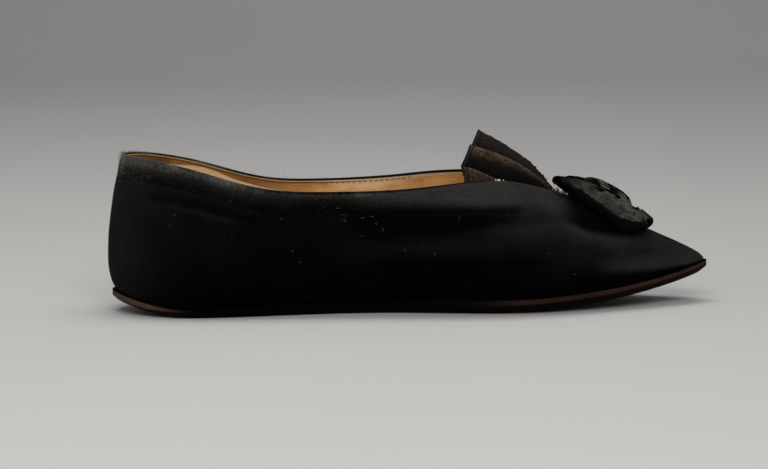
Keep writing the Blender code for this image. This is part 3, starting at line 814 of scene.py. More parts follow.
fan = {
    "thick": 0.40, "clear": 0.55, "sink": 1.2, "frontX": 185.2, "backX": 143.2, "skew": 2.2, "bulge": 0.8,
    "arch": 0.85, "depthFront": 0.55, "depthBack": 3.2, "steps": 104, "halfSteps": 120,
    # top line from the bow to the free end: x, z
    "ridge": [(183.4, 42.8), (179.0, 45.4), (174.8, 51.0), (170.2, 56.0), (165.2, 60.1), (160.9, 63.1),
              (156.6, 65.8), (152.5, 68.2), (148.5, 70.6)],
    # share of the way from the sewn edge to the ridge, depth of the fold, how faded and lit (a painted
    # highlight on the ridges), how red
    "pleats": [
        (0.0, 0.22, 0.05, 0.9), (0.08, 0.06, 0.1, 0.9), (0.17, 0.0, 0.2, 0.7), (0.21, 0.05, 1.0, 0.2),
        (0.203, 0.22, 0.0, 0.0), (0.135, 0.40, 0.0, 0.0), (0.11, 0.56, 0.0, 0.0), (0.14, 0.74, 0.0, 0.0),
        (0.195, 0.95, 0.0, 0.0), (0.25, 1.0, 0.0, 0.0), (0.32, 0.80, 0.0, 0.05), (0.40, 0.45, 0.06, 0.15),
        (0.47, 0.14, 0.6, 0.1), (0.525, 0.0, 1.0, 0.0), (0.547, 0.08, 0.9, 0.0), (0.525, 0.26, 0.0, 0.0),
        (0.475, 0.44, 0.0, 0.0), (0.455, 0.58, 0.0, 0.0), (0.49, 0.80, 0.0, 0.0), (0.55, 1.0, 0.0, 0.0),
        (0.63, 0.92, 0.0, 0.05), (0.72, 0.62, 0.03, 0.08), (0.82, 0.34, 0.06, 0.08), (0.92, 0.08, 0.1, 0.08),
        (0.975, 0.0, 0.28, 0.0), (1.0, 0.16, 0.1, 0.0)],
    # share, how far that half goes back at the free end
    "reachBack": [(0.0, 1.6), (0.2, 4.5), (0.25, 5.2), (0.547, 3.6), (0.8, 2.0), (1.0, 0.6)],
    "farBack": [(0.0, -1.0), (0.3, -3.0), (0.7, -2.2), (1.0, 0.6)],
    "firstFold": 0.21, "secondFold": 0.547, "ribPitch": 0.95,
}


def throatEdge(x):
    angles = np.linspace(math.pi / 2, math.pi, 201)
    angle = np.interp(x, topX(angles), angles)
    one = np.ones_like(angle)
    edge = wallHalf(angle, one) - shoe["wall"] * wallNormal(angle, one)
    return edge - (0.0, fan["clear"], fan["sink"])


def smoothLine(line, count, weights):
    # points at even spacing on a smooth curve through a short table; weights say what counts as distance
    line = np.array(line, float)
    fine = np.linspace(0.0, len(line) - 1, 40 * len(line))
    padded = np.concatenate([2 * line[:1] - line[1:2], line, 2 * line[-1:] - line[-2:-1]])
    i = np.minimum(fine.astype(int), len(line) - 2)
    s = (fine - i)[:, None]
    a, b, c, d = padded[i], padded[i + 1], padded[i + 2], padded[i + 3]
    square, cube = 2 * a - 5 * b + 4 * c - d, 3 * b - a - 3 * c + d
    curve = 0.5 * (2 * b + (c - a) * s + square * s ** 2 + cube * s ** 3)
    reach = reachAlong(curve * weights)
    return placesOn(curve, reach, np.linspace(0.0, reach[-1], count))


def fanPoints(along, side, share, depth):
    # the lowest pleat comes out from under the throat edge only near the free end
    first, second = fan["firstFold"], fan["secondFold"]
    out = first * (0.1 + 0.9 * smooth(along, 0.55, 1.0))
    closer = 0.62 + 0.38 * smooth(along, 0.45, 1.0)
    between = out + (second - out) * np.clip((share - first) / (second - first), 0.0, 1.0) ** closer
    share = np.where(share < first, share * out / first, np.where(share < second, between, share))
    edge = throatEdge(fan["frontX"] + (fan["backX"] + side * fan["skew"] - fan["frontX"]) * along)
    places = np.linspace(0.0, 1.0, len(fan["ridge"]))
    ridgeX, ridgeZ = (np.interp(along, places, [row[k] for row in fan["ridge"]]) for k in (0, 1))
    deep = fan["depthFront"] + (fan["depthBack"] - fan["depthFront"]) * along
    tilt = share * math.pi / 2
    lift = np.sin(tilt) ** fan["arch"]
    x = edge[..., 0] + (ridgeX - edge[..., 0]) * lift - fan["bulge"] * along * np.sin(2 * tilt)
    arch = xyz(x, side * edge[..., 1] * np.cos(tilt), edge[..., 2] + (ridgeZ - edge[..., 2]) * lift)
    near, far = (np.interp(share, *np.array(fan[key]).T) for key in ("reachBack", "farBack"))
    arch[..., 0] -= np.where(side < 0, near, far) * along ** 2
    return arch - xyz(0.0, side * np.cos(tilt), np.sin(tilt)) * (depth * deep)[..., None]


def makeFanFinish():
    look = {"brown": (0.0052, 0.0037, 0.0029), "deep": (0.0012, 0.0011, 0.0015), "tan": (0.105, 0.066, 0.041),
            "red": (0.088, 0.044, 0.038), "selvage": (0.024, 0.019, 0.015), "pick": 0.8}
    f = Finish("ribbed_ribbon", Specular_IOR_Level=0.1, Sheen_Weight=0.02, Sheen_Roughness=0.3)
    across, along = f.sizes()
    spot = f.place()
    fold, faded, red, free = f.marks("fold", "faded", "red", "free")
    drift = f.noise(spot, 260.0, 2.0, 0.5)
    ribs = f.waves(across, fan["ribPitch"], drift * 9.0)
    picks = f.waves(along, look["pick"], drift * 14.0)
    patches = f.noise(spot, 170.0, 4.0, 0.6)
    fuzz = f.noise(spot, 1100.0, 3.0, 0.6)
    # painted shade deep in the folds
    colour = f.mix(f.step(fold, 0.04, 0.42), look["brown"], look["deep"])
    colour = f.mix(red * 0.8, colour, look["red"])
    # faded tan, with painted highlight, on the ridges
    colour = f.mix(faded * f.step(patches + fuzz * 0.5 + ribs * 0.12, 0.50, 0.85), colour, look["tan"])
    colour = f.shade(colour, f.step(fuzz * 0.95 + ribs * picks * 0.3, 0.3, 0.8) * 1.8 + 0.06)
    strip = f.band(free, 0.25, 0.5, 1.4, 1.6)
    lines = (1.0 - f.step(free, 0.25, 0.5)) + f.band(free, 1.4, 1.6, 1.9, 2.2)
    colour = f.mix(strip * 0.7, colour, look["selvage"])
    colour = f.mix(lines * 0.75, colour, look["deep"])
    f.bump(ribs * 0.8 + picks * 0.6 + fuzz * 0.5 + strip * 0.5, 0.0003, 0.9)
    return f.feed(Base_Color=colour, Roughness=0.62 + fuzz * 0.2)


def makeFan():
    profile = smoothLine(fan["pleats"], fan["halfSteps"], (1.0, 0.1, 0.0, 0.0))
    profile = np.concatenate([profile, profile[-2::-1]])
    share, depth, faded, red = profile.T[:, None, :]
    side = np.where(np.arange(len(profile)) < fan["halfSteps"], 1.0, -1.0)[None, :]
    along = np.linspace(0.0, 1.0, fan["steps"] + 1)[:, None]
    level = 0 * along + 0 * side
    grid = fanPoints(along + level, side + level, share + level, depth + level)
    # small gathers where the ribbon is drawn together, and frills just behind them
    pucker = 0.28 * np.sin(share * 95.0 + 1.3 * side) * smooth(along, 0.55, 0.05) * smooth(share, 0.0, 0.1)
    frills = 0.45 * np.sin(grid[..., 0] * 5.6) * hump(grid[..., 0], 172.5, 3.2) * smooth(share, 0.15, 0.4)
    crest = smooth(share, 0.76, 0.97)
    bumpy = 0.2 * flecks(grid, 6.0, 4) + (0.4 * flecks(grid, 1.7, 9) + 0.5 * flecks(grid, 5.2, 12)) * crest
    grid = grid + gridNormals(grid) * (pucker + frills + bumpy)[..., None]
    thick = fan["thick"] * (0.35 + 0.65 * smooth(along, 0.0, 0.5)) + level
    points, faces, uv = slab(grid, thick)
    free = np.linalg.norm(grid - grid[-1:], axis=-1)
    faded, red = (np.clip(part, 0.0, 1.0) + level for part in (faded, red))
    marks = bothFaces({"fold": depth + level, "faded": faded, "red": red, "free": free})
    return addPiece("fan_ribbon", points, faces, makeFanFinish(), ["throat_fan"], uv, marks)


# bow: two loops and a knot of black silk on the vamp

bow = {
    "x": 198.2, "ribbon": 0.34, "lift": 0.45, "front": 1.0, "pathSteps": 90, "widthSteps": 96,
    "knotLength": 22.0, "knotHeight": 9.4, "knotWidth": 9.0, "knotRound": 0.8,
    "knotLift": 0.6, "knotTilt": 0.1, "crimp": 0.6, "farLeft": 0.74,
    # share of the width; down the toe at the knot, fold and vamp; fold across and up; top at the knot
    "folds": [
        (-1.0, -10.6, -23.2, -23.0, 9.6, 5.0, 7.9), (-0.75, -8.2, -18.2, -17.4, 10.6, 5.4, 7.6),
        (-0.5, -5.6, -12.4, -11.4, 12.2, 4.5, 7.1), (-0.2, -2.4, -5.0, -4.8, 13.4, 3.3, 6.7),
        (-0.02, -0.3, -1.0, -1.0, 14.2, 2.1, 6.6), (0.08, 0.9, 1.6, 1.4, 15.4, 0.9, 6.6),
        (0.3, 3.4, 6.2, 5.6, 16.0, 0.4, 6.8), (0.5, 5.6, 10.6, 9.6, 15.2, 0.8, 6.6),
        (0.7, 7.8, 14.6, 13.4, 13.0, 1.4, 6.1), (0.87, 9.6, 17.6, 16.2, 9.8, 1.2, 5.5),
        (1.0, 10.8, 19.4, 18.0, 7.6, 1.0, 4.9)],
    # share of the width, how far the front hangs clear of the vamp
    "curlUp": [(-1.0, 2.3), (-0.75, 1.3), (-0.5, 0.3), (-0.3, 0.0)],
    # rolled ends: axis from and to (down, across, up), first and last radius, turns, the way they lie, tone
    # of painted light
    "rolls": [((-19.8, 6.0, 4.9), (-23.9, 12.0, 3.9), 1.5, 1.95, 0.95, (-0.84, -0.54), 0.4),
              ((14.6, 3.6, 4.2), (17.9, 10.2, 2.1), 1.5, 2.3, 1.8, (0.92, -0.38), 1.1)],
    # knotTone: painted light over the whole knot
    "knotSteps": (121, 96), "knotWaist": 0.12, "knotTone": 2.6,
    # folded layers of the knot from one side up to the middle: share across, millimetres deep, how light the
    # painted highlight on the edge is
    "layers": [(-1.0, 4.3, 0.0), (-1.0, 3.3, 0.0), (-1.05, 2.9, 0.5), (-0.95, 2.45, 0.0), (-1.0, 2.0, 1.0),
               (-0.86, 1.55, 0.0), (-0.9, 1.1, 1.0), (-0.72, 0.75, 0.0), (-0.72, 0.35, 1.0),
               (-0.5, 0.12, 0.2), (-0.38, 0.42, 0.0), (-0.26, 0.1, 0.6), (0.0, 0.0, 0.2)],
}
crownLine = wallHalf(np.full(201, math.pi), np.linspace(1.0, 0.0, 201))


def crown(x):
    return np.interp(x, crownLine[:, 0], crownLine[:, 2])


crownReach = bow["knotLength"] / 2
crownSlope = math.atan2(crown(bow["x"] - crownReach) - crown(bow["x"] + crownReach), 2 * crownReach)
crownSteps = np.linspace(-crownReach, crownReach, 28)
bowSeat = float(np.max(crown(bow["x"] + crownSteps) + crownSteps * math.tan(crownSlope)))


def bowPoint(down, across, rise):
    # from the bow's own frame (down the toe, across the foot, up off the vamp) to the shoe's
    x = bow["x"] + down * math.cos(crownSlope) + rise * math.sin(crownSlope)
    return xyz(x, across, bowSeat - down * math.sin(crownSlope) + rise * math.cos(crownSlope))


def vampRise(clothTree, down, across):
    # how high the cloth is under each place, in the bow's frame
    starts = bowPoint(down, across, 14.0 + 0 * down)
    drop = Vector((-math.sin(crownSlope), 0.0, -math.cos(crownSlope)))
    away = [clothTree.ray_cast(Vector(start), drop, 40.0)[3] for start in starts]
    return np.array([0.3 if reach is None else 14.0 - reach for reach in away])


def makeSilkFinish():
    look = {"black": (0.0013, 0.0013, 0.0014), "paintedTopLight": (0.066, 0.069, 0.059), "brown": (0.13, 0.092, 0.067),
            "thread": 0.42}
    f = Finish("bow_silk", Specular_IOR_Level=0.05)
    across, along = f.sizes()
    spot = f.place()
    facing, gathered, edge, tone = f.marks("facing", "gathered", "edge", "tone")
    patches = f.noise(spot, 190.0, 4.0, 0.6)
    fuzz = f.noise(spot, 1200.0, 3.0, 0.65)
    blotches = f.noise(spot, 430.0, 3.0, 0.6)
    pulls = f.noise(f.vector(across * 0.55, along * 0.12), 1.0, 3.0, 0.55)
    threads = f.waves(across, look["thread"], pulls * 9.0)
    # painted light on the silk that faces up
    paintedTopLight = f.step(facing + patches * 0.7 + blotches * 0.5 + pulls * 0.15, 0.92, 1.62)
    colour = f.mix(paintedTopLight, look["black"], look["paintedTopLight"])
    colour = f.mix(gathered * f.step(patches + fuzz * 0.2, 0.48, 0.66) * 0.8, colour, look["brown"])
    # the tone mark carries painted light and shade into the nap
    nap = threads * 0.1 + fuzz * 0.8 + blotches * 1.7 + pulls * 0.2 + edge * 0.35 - 0.6
    colour = f.shade(colour, tone * nap)
    f.bump(threads * 0.18 + pulls * 1.0 + fuzz * 0.45, 0.00022, 0.8)
    return f.feed(Base_Color=colour, Roughness=0.5 + patches * 0.2 + fuzz * 0.1)


def joined(parts):
    # several (points, faces, uv, marks) as one
    points, faces, uv, marks = zip(*parts)
    starts = np.concatenate([[0], np.cumsum([len(part) for part in points])])
    faces = np.concatenate([part + start for part, start in zip(faces, starts)])
    marks = {key: np.concatenate([part[key] for part in marks]) for key in marks[0]}
    return np.concatenate(points), faces, np.concatenate(uv), marks


def silkSheet(grid, gathered, edge, tone, thick):
    facing = gridNormals(grid)
    facing = facing * np.where(facing[len(grid) * 4 // 5, grid.shape[1] // 2, 2] < 0, -1.0, 1.0)
    points, faces, uv = slab(grid, thick + 0 * grid[..., 0])
    marks = {"facing": facing[..., 2], "gathered": gathered, "edge": edge, "tone": tone}
    return points, faces, uv, bothFaces(marks)


def makeBowLoop(name, node, side, finish, seed, clothTree):
    share = np.linspace(-1.0, 1.0, bow["widthSteps"] + 1)
    table = np.array(bow["folds"]).T
    blur = np.array([0.1, 0.2, 0.4, 0.2, 0.1])
    rows = [np.pad(np.interp(share, table[0], row), 2, mode="edge") for row in table[1:]]
    rows = [np.convolve(row, blur, "valid") for row in rows]
    downKnot, downFold, downVamp, fold, foldRise, knotRise = rows
    if side > 0:
        downFold, downVamp = (np.where(row < 0, row * bow["farLeft"], row) for row in (downFold, downVamp))
    knotEdge = bow["knotWidth"] * 0.525 + 0.1
    inner, outer = 0.45 * fold + 2.0, fold - 0.5
    innerDown = 0.6 * downVamp + 0.4 * downKnot
    curl = bow["lift"] + np.interp(share, *np.array(bow["curlUp"]).T)
    innerRise, midRise, outerRise = (vampRise(clothTree, down, side * across) + curl for down, across
                                     in ((innerDown, inner), (downVamp, 0.85 * fold), (downVamp, outer)))
    hold = 0 * share
    stops = [(downKnot, hold + knotEdge, hold + 0.9), (innerDown, inner, innerRise),
             (downVamp, 0.85 * fold, midRise), (downVamp, outer, outerRise + 0.3),
             (0.5 * downVamp + 0.5 * downFold, fold + 0.7 * bow["front"], 0.5 * outerRise + 0.5 * foldRise),
             (0.1 * downVamp + 0.9 * downFold, fold + 0.8 * bow["front"], foldRise - 0.9),
             (downFold, fold - 0.2, foldRise + 0.15),
             (0.7 * downFold + 0.3 * downKnot, 0.62 * fold + 1.6, 0.5 * foldRise + 0.5 * knotRise + 0.5),
             (downKnot, hold + knotEdge, knotRise)]
    stops = np.array(stops).transpose(0, 2, 1)
    path = smoothLine(stops.reshape(len(stops), -1), bow["pathSteps"] + 1, 1.0)
    down, across, rise = path.reshape(-1, len(share), 3).transpose(2, 0, 1)
    # gathers run out from the knot and die away before the fold
    top = smooth(np.linspace(0.0, 1.0, bow["pathSteps"] + 1), 0.45, 0.6)[:, None]
    near = smooth(across, 11.0, knotEdge)
    gathers = np.sin(share * 10.0 + seed) + 0.6 * np.sin(share * 18.0 + 2.1 * seed)
    freely = 0.3 + 0.7 * top
    rise = rise + bow["crimp"] * gathers * near * freely
    grid = bowPoint(down, side * across, rise)
    lumps = 0.4 * flecks(grid, 5.0, seed) + 0.22 * flecks(grid, 2.2, seed + 1)
    lumps = lumps * smooth(across, knotEdge - 1.0, knotEdge + 2.0) * freely
    grid = grid + gridNormals(grid) * lumps[..., None]
    browned = near * top * hump(share, -0.12, 0.3)
    selvage = smooth(np.abs(share), 0.95, 0.99) + 0 * near
    # tone: painted light and shade across the loop, lighter toward the right end, darker at the left end and
    # by the fold
    tone = 0.98 + 0.18 * share + 0.2 * smooth(share, 0.25, 0.6) - 0.72 * smooth(share, -0.5, -0.86)
    tone = tone - 0.4 * hump(share, -0.02, 0.2) * smooth(across, 0.6 * fold, 0.8 * fold)
    parts = [silkSheet(grid, browned, selvage, tone, bow["ribbon"])]
    for start, end, first, last, turns, way, light in bow["rolls"][0 if side < 0 else 1:]:
        axis = np.linspace(0.0, 1.0, 22)[:, None]
        swing = np.linspace(0.0, 2 * math.pi * turns, 44)[None, :]
        size = (first + (last - first) * axis) * (1.0 - 0.55 * swing / swing[0, -1])
        line = [a + (b - a) * axis for a, b in zip(start, end)]
        rollDown, rollAcross = (line[k] + way[k] * size * np.sin(swing) for k in (0, 1))
        turned = bowPoint(rollDown, side * rollAcross, line[2] + size * np.cos(swing))
        # painted shade on the inner turns of the roll
        tone = light * (1.0 - 0.8 * smooth(swing / swing[0, -1], 0.3, 0.7)) + 0 * size
        parts.append(silkSheet(turned, 0 * size, smooth(axis, 0.93, 1.0) + 0 * size, tone, bow["ribbon"]))
    points, faces, uv, marks = joined(parts)
    return addPiece(name, points, faces, finish, [node], uv, marks)


def makeKnot(finish):
    middle = shoe["fitGap"] + bow["knotHeight"] / 2
    half = np.array(bow["layers"])
    section = np.concatenate([half, (half * (-1, 1, 1))[-2::-1]])
    sectionSteps, turnSteps = bow["knotSteps"]
    section = smoothLine(section, sectionSteps, (4.0, 1.0, 0.0))
    turns = np.linspace(0.0, 2 * math.pi, turnSteps, endpoint=False)
    oval = [np.sign(part) * np.abs(part) ** bow["knotRound"] for part in (np.cos(turns), np.sin(turns))]
    waist = 1.0 - bow["knotWaist"] * np.abs(np.sin(turns)) ** 2
    inset = 2 * section[:, 1:2]
    down = oval[0] * (bow["knotLength"] - inset) / 2
    rise = middle + oval[1] * (bow["knotHeight"] - inset) / 2
    rise = rise + (bow["knotLift"] - bow["knotTilt"] * down) * smooth(oval[1], -0.2, 0.6)
    grid = bowPoint(down, section[:, :1] * waist * bow["knotWidth"] / 2, rise)
    grid = grid + 0.12 * flecks(grid, 3.0, 6)[..., None]
    faces, corners = gridFaces(*grid.shape[:2], wrapRows=True, wrapCols=True)
    uv = np.stack([corners[..., 0] * 0.2, corners[..., 1] * 0.55], axis=-1)
    level = np.zeros(grid.shape[:2])
    # painted highlights on the folds' edges come and go
    broken = smooth(flecks(grid, 4.5, 14) + 0.7 * flecks(grid, 1.8, 15), -0.45, 0.5)
    light = np.clip(section[:, 2:], 0.0, 1.0) * (0.08 + 0.92 * broken)
    # the knot's facing mark carries its painted highlights
    marks = {"facing": 0.2 + 0.6 * light, "gathered": level, "edge": light, "tone": level + bow["knotTone"]}
    return addPiece("bow_band", grid, faces, finish, ["bow_knot"], uv, marks)


# stitches, stray threads, fuzz and lint

def threadFinish(name, colour, rough):
    f = Finish(name, Specular_IOR_Level=0.3)
    spot = f.place()
    strandNoise = f.noise(spot, 1500.0, 3.0, 0.6)
    return f.feed(Base_Color=f.shade(colour, 0.6 + strandNoise * 0.8), Roughness=rough + strandNoise * 0.15)


stitch = {
    "pitch": 2.3, "long": 1.3, "radius": 0.15, "below": 1.3, "fromX": 84.0, "toX": 124.0,
    "brown": (0.22, 0.105, 0.045), "gold": (0.80, 0.68, 0.50), "steps": 7, "sides": 6,
    # whipped over the throat edge: x, side, slant, radius
    "whipped": [(152.2, -1, 0.9, 0.26), (153.0, -1, 0.5, 0.34), (153.8, -1, 0.9, 0.30),
                (155.2, -1, 0.4, 0.14), (180.2, -1, 0.8, 0.13), (181.6, -1, 0.5, 0.15),
                (183.0, -1, 0.9, 0.14), (152.0, 1, 0.6, 0.20),
                (154.2, 1, 0.8, 0.20), (181.0, 1, 0.6, 0.20), (183.4, 1, 0.8, 0.20), (185.4, 1, 0.6, 0.22)],
    # loose loops over the front of the throat: from x, to x, off the edge, height, radius
    "loops": [(176.8, 178.6, -0.4, 1.5, 0.09), (178.2, 180.4, 0.0, 1.8, 0.40),
              (180.6, 183.4, -0.1, 1.3, 0.40), (179.4, 181.8, -0.5, 0.7, 0.12)],
}


def roundEnds(steps, start, power):
    # thickness along a thread that narrows to both ends
    return np.sin(np.linspace(start, math.pi - start, steps)) ** power


def makeStitches():
    around = np.linspace(-math.pi, math.pi, 4000)
    rise = 1.0 - stitch["below"] / wallLength(around)
    face = wallPoint(around, rise) - wallNormal(around, rise) * (lining["inner"] + 0.02)
    reach = reachAlong(face)
    starts = np.arange(stitch["pitch"], reach[-1] - stitch["pitch"], stitch["pitch"])
    places = starts[:, None] + np.linspace(0.0, stitch["long"], stitch["steps"])[None, :]
    lines = placesOn(face, reach, places)
    lines = lines[(lines[:, 0, 0] > stitch["fromX"]) & (lines[:, 0, 0] < stitch["toX"])]
    radius = stitch["radius"] * roundEnds(stitch["steps"], 0.18, 0.6)
    points, faces = tubes(lines, np.repeat(radius[None], len(lines), axis=0), stitch["sides"])
    thread = threadFinish("stitch_thread", stitch["brown"], 0.7)
    addPiece("collar_stitches", points, faces, thread, ["upper"])
    # over the edge: up the outer face, round the rim and down inside
    swing = np.linspace(-0.5, math.pi + 0.35, 13)
    rim = cloth["rim"] + 0.16
    angles = np.linspace(math.pi / 2, math.pi, 401)
    lines, radius = [], []
    for x, side, slant, size in stitch["whipped"]:
        angle = np.interp(x + slant * (swing / math.pi - 0.5), topX(angles), angles)
        below = cloth["rim"] - rim * np.sin(swing) + np.where(swing < 0, 0.8 * -swing, 0.0)
        depth = cloth["rim"] - rim * np.cos(swing) * np.where(swing < 0, 0.9, 1.0)
        rise = 1.0 - below / wallLength(angle)
        lines.append(wallPoint(side * angle, rise) - wallNormal(side * angle, rise) * depth[:, None])
        radius.append(size * roundEnds(len(swing), 0.25, 0.5))
    for start, end, off, height, size in stitch["loops"]:
        t = np.linspace(0.0, 1.0, len(swing))
        angle = np.interp(start + (end - start) * t, topX(angles), angles)
        line = wallPoint(-angle, 1.0 + 0 * angle) + xyz(0.0, 0.5 * off, -0.2)
        line += (height * np.sin(math.pi * t))[:, None] * unit(np.array([-0.35, off, 1.0]))
        lines.append(line)
        radius.append(size * roundEnds(len(swing), 0.4, 0.5))
    points, faces = tubes(np.array(lines), np.array(radius), stitch["sides"])
    thread = threadFinish("gold_thread", stitch["gold"], 0.6)
    addPiece("throat_stitches", points, faces, thread, ["upper"])


def strands(roots, lean, length, curl, radius, rng, steps=5):
    # tapering hairs that leave their roots along lean and bend away
    count = len(roots)
    t = np.linspace(0.0, 1.0, steps)[None, :, None]
    bend = unit(rng.normal(size=(count, 3)))[:, None]
    twist = unit(rng.normal(size=(count, 3)))[:, None]
    size = length[:, None, None]
    lines = roots[:, None] + lean[:, None] * t * size + bend * curl * size * t ** 2
    lines = lines + twist * curl * 0.6 * size * t ** 3
    taper = np.repeat(radius * (1.0 - 0.75 * t[..., 0]), count, axis=0)
    return tubes(lines, taper, 3)


fuzz = {
    "seed": 11, "wallHairs": 500, "radius": 0.026, "lintHairs": 7, "lintRadius": 0.032,
    "grey": (0.15, 0.142, 0.128), "pale": (0.22, 0.212, 0.195),
    # hairs along the top edge: from x, to x, how many, longest
    "heelHairs": (4.0, 20.0, 1500, 1.3), "edgeHairs": (14.0, 120.0, 1700, 1.5), "fray": (1.8, 5.0, 900, 1.5),
    # lint on the near side: x, z, size of the tuft
    "lint": [(98.2, 32.4, 1.3), (66.9, 38.8, 0.8), (73.7, 22.9, 0.6), (70.6, 26.8, 0.7), (136.3, 38.5, 0.8),
             (114.8, 26.6, 0.7), (125.2, 25.8, 0.6), (157.7, 22.3, 0.6), (89.2, 43.2, 1.1), (89.9, 40.1, 0.8),
             (91.4, 38.6, 0.9), (98.4, 42.4, 0.9), (98.3, 39.4, 0.9), (101.8, 39.4, 0.7), (105.6, 34.7, 0.8),
             (104.1, 37.1, 0.8), (174.2, 43.8, 0.7), (193.0, 38.3, 0.6), (4.8, 17.8, 0.5), (46.9, 46.3, 0.7),
             (25.2, 41.0, 0.5), (23.2, 36.8, 0.5), (47.8, 34.1, 0.6), (181.2, 15.7, 0.5), (171.5, 24.9, 0.5)],
    "fringe": 90, "fringeRadius": 0.05,  # loose ends along the fan's ridge
    "strayRadius": 0.035, "strayPlace": (25.0, 54.0),  # their y and z on the far edge
    # single hairs: x, length
    "strays": [(56.0, 6.0), (60.0, 8.0), (66.0, 5.0), (71.0, 9.0), (73.0, 6.0), (86.0, 7.0), (88.0, 5.0)],
}


def edgeHairs(rng, low, high, count, longest):
    # hairs along the top edge between two x
    around = turn(rng.uniform(low, high, count), shoe["soleBack"], shoe["soleTip"])
    around = around * rng.choice([-1.0, 1.0], count)
    below = rng.exponential(2.0, count)
    rise = 1.0 - np.minimum(below, 9.0) / wallLength(around)
    roots, normals = wallPoint(around, rise), wallNormal(around, rise)
    lean = unit(normals + 0.7 * rng.normal(size=(count, 3)) + 0.5 * up * hump(below, 0.0, 1.0)[:, None])
    return strands(roots, lean, rng.uniform(0.4, longest, count), 0.7, fuzz["radius"], rng)


def addHairs(name, tufts, finish):
    starts = np.concatenate([[0], np.cumsum([len(points) for points, _ in tufts])])
    faces = [[i + start for i in face] for (_, quads), start in zip(tufts, starts) for face in quads]
    addPiece(name, np.concatenate([points for points, _ in tufts]), faces, finish, ["upper"])


def makeFuzz(skin, skinFacing):
    rng = np.random.default_rng(fuzz["seed"])
    wall = fuzz["wallHairs"]
    tufts = [edgeHairs(rng, *fuzz[key]) for key in ("heelHairs", "edgeHairs")]
    pick = rng.choice(len(skin), wall, replace=False)
    lean = unit(skinFacing[pick] * 0.5 + rng.normal(size=(wall, 3)))
    tufts.append(strands(skin[pick], lean, rng.uniform(0.3, 1.0, wall), 0.8, fuzz["radius"], rng))
    addHairs("cloth_fuzz", tufts, threadFinish("cloth_fibre", fuzz["grey"], 0.9))
    near = skin[:, 1] < 0
    nearSkin, nearFacing = skin[near], skinFacing[near]
    tufts = []
    for x, z, size in fuzz["lint"]:
        i = np.argmin((nearSkin[:, 0] - x) ** 2 + (nearSkin[:, 2] - z) ** 2)
        count = fuzz["lintHairs"]
        root = nearSkin[i] + 0.25 * size * rng.normal(size=(count, 3)) + 0.05 * nearFacing[i]
        lean = unit(nearFacing[i] * 0.35 + rng.normal(size=(count, 3)))
        length = size * rng.uniform(0.4, 1.1, count)
        tufts.append(strands(root, lean, length, 0.9, fuzz["lintRadius"], rng))
    # the worn top of the heel
    tufts.append(edgeHairs(rng, *fuzz["fray"]))
    # loose ends along the fan, longest at its front
    count = fuzz["fringe"]
    ridgeX, ridgeZ = np.array(fan["ridge"])[::-1].T
    x = rng.choice([1.0, 0.0], count, p=[0.45, 0.55])
    x = np.where(x > 0, rng.uniform(174.0, 183.0, count), rng.uniform(150.0, 176.0, count))
    roots = xyz(x, rng.uniform(-0.8, 0.4, count), np.interp(x, ridgeX, ridgeZ) - 0.5)
    lean = unit(0.25 * rng.normal(size=(count, 3)) + xyz(0.3, 0.0, 1.0))
    length = np.where(x > 175.0, rng.uniform(1.6, 3.4, count), rng.uniform(0.7, 1.5, count))
    tufts.append(strands(roots, lean, length, 0.3, fuzz["fringeRadius"], rng))
    farY, farZ = fuzz["strayPlace"]
    for x, length in fuzz["strays"]:
        i = np.argmin((skin[:, 0] - x) ** 2 + (skin[:, 1] - farY) ** 2 + (skin[:, 2] - farZ) ** 2)
        lean = unit(np.array([[0.35 * rng.normal(), -0.2, 1.0]]))
        tufts.append(strands(skin[i][None], lean, np.array([length]), 0.55, fuzz["strayRadius"], rng, 14))
    addHairs("lint_tufts", tufts, threadFinish("lint_fibre", fuzz["pale"], 0.9))


# stage, light and camera

studio = {
    "floor": (0.62, 0.615, 0.605), "air": (0.95, 0.97, 1.0), "world": 0.16,
    # metres: the floor's front edge, where it bends up, the bend's radius, the wall's top, half the width
    "front": -1.6, "bend": 1.2, "sweep": 0.9, "wallTop": 2.6, "halfWidth": 3.0,
    # name, place, aim, size, power, tint
    "lights": [
        ("front_softbox", (-0.15, -0.95, 0.70), (0.0, 0.0, 0.03), (0.8, 0.5), 7.0, (1.0, 0.985, 0.96)),
        ("top_softbox", (0.0, 0.05, 0.95), (0.0, 0.0, 0.03), (0.75, 0.5), 4.0, (1.0, 0.985, 0.96)),
        ("heel_fill", (-0.9, -0.1, 0.45), (0.0, 0.0, 0.03), (0.6, 0.5), 0.5, (1.0, 1.0, 1.0)),
        ("back_wash", (0.4, 0.9, 0.9), (0.0, 1.6, 0.2), (1.2, 0.5), 1.6, (1.0, 1.0, 1.0))],
}
view = {"azimuth": -7.0, "pitch": 7.6, "distance": 1.1, "lens": 128.9, "sensor": 36.0,
        "lookAt": (110.0, 0.0, 29.0)}


def makeFloor():
    f = Finish("studio_floor", Specular_IOR_Level=0.2)
    spot = f.place()
    cloud = f.noise(spot, 3.0, 3.0, 0.5)
    fine = f.noise(spot, 900.0, 3.0, 0.6)
    colour = f.shade(studio["floor"], 0.95 + cloud * 0.08 + fine * 0.03)
    f.bump(fine, 0.0001, 0.4)
    finish = f.feed(Base_Color=colour, Roughness=0.75 + fine * 0.1)
    swing = np.linspace(0.0, math.pi / 2, 24)
    bend, sweep, wide = studio["bend"], studio["sweep"], studio["halfWidth"]
    profile = [(studio["front"], 0.0), *[(y, 0.0) for y in np.linspace(-bend, bend, 13)]]
    profile += [(bend + sweep * math.sin(a), sweep - sweep * math.cos(a)) for a in swing[1:]]
    profile.append((bend + sweep, studio["wallTop"]))
    across = np.linspace(-wide, wide, 13)
    grid = np.array([[(x, y, z) for x in across] for y, z in profile])
    faces, _ = gridFaces(*grid.shape[:2])
    mesh = bpy.data.meshes.new("studio_floor")
    mesh.from_pydata(grid.reshape(-1, 3).tolist(), [], faces[:, ::-1].tolist())
    mesh.materials.append(finish)
    mesh.shade_smooth()
    floor = addObject("studio_floor", mesh)


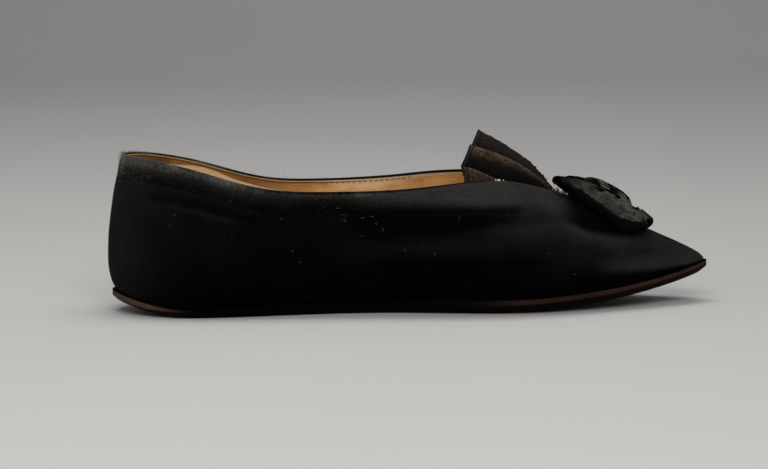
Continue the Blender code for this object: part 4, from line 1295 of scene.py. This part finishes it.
def makeLight(name, place, aim, size, power, tint):
    lamp = bpy.data.lights.new(name, "AREA")
    lamp.shape = "RECTANGLE"
    lamp.size, lamp.size_y = size
    lamp.energy = power
    lamp.color = tint
    light = addObject(name, lamp)
    light.location = place
    light.rotation_mode = "QUATERNION"
    light.rotation_quaternion = (Vector(aim) - Vector(place)).to_track_quat("-Z", "Y")


def makeStudio():
    makeFloor()
    for row in studio["lights"]:
        makeLight(*row)
    world = bpy.data.worlds.new("studio_air")
    bpy.context.scene.world = world
    world.use_nodes = True
    air = world.node_tree.nodes["Background"]
    air.inputs["Color"].default_value = (*studio["air"], 1.0)
    air.inputs["Strength"].default_value = studio["world"]
    bpy.context.scene.view_settings.view_transform = "Standard"
    print("lit the studio")


def makeCamera():
    azimuth, pitch = math.radians(view["azimuth"]), math.radians(view["pitch"])
    level = math.cos(pitch)
    back = Vector((math.sin(azimuth) * level, -math.cos(azimuth) * level, math.sin(pitch)))
    right = Vector((math.cos(azimuth), math.sin(azimuth), 0.0))
    axes = Matrix((right, back.cross(right), back)).transposed().to_4x4()
    target = (Vector(view["lookAt"]) - Vector((centreX, 0.0, 0.0))) * mm
    lens = bpy.data.cameras.new("photo_camera")
    lens.lens, lens.sensor_width, lens.clip_start = view["lens"], view["sensor"], 0.01
    camera = addObject("photo_camera", lens)
    camera.matrix_world = Matrix.Translation(target + back * view["distance"]) @ axes
    bpy.context.scene.camera = camera
    print("set the camera")


upperCloth, skin, skinFacing = makeUpper()
upperLining = makeLining()
makeSole()
insoleSock = makeInsole()
fanRibbon = makeFan()
silk = makeSilkFinish()
skinFaces, _ = gridFaces(cloth["stations"], cloth["rows"], wrapRows=True)
clothTree = BVHTree.FromPolygons(skin.tolist(), skinFaces.tolist())
farLoop = makeBowLoop("bow_wing_left", "bow_loop_left", 1.0, silk, 5, clothTree)
nearLoop = makeBowLoop("bow_wing_right", "bow_loop_right", -1.0, silk, 8, clothTree)
knotBand = makeKnot(silk)
makeStitches()
makeFuzz(skin, skinFacing)
makeStudio()
makeCamera()
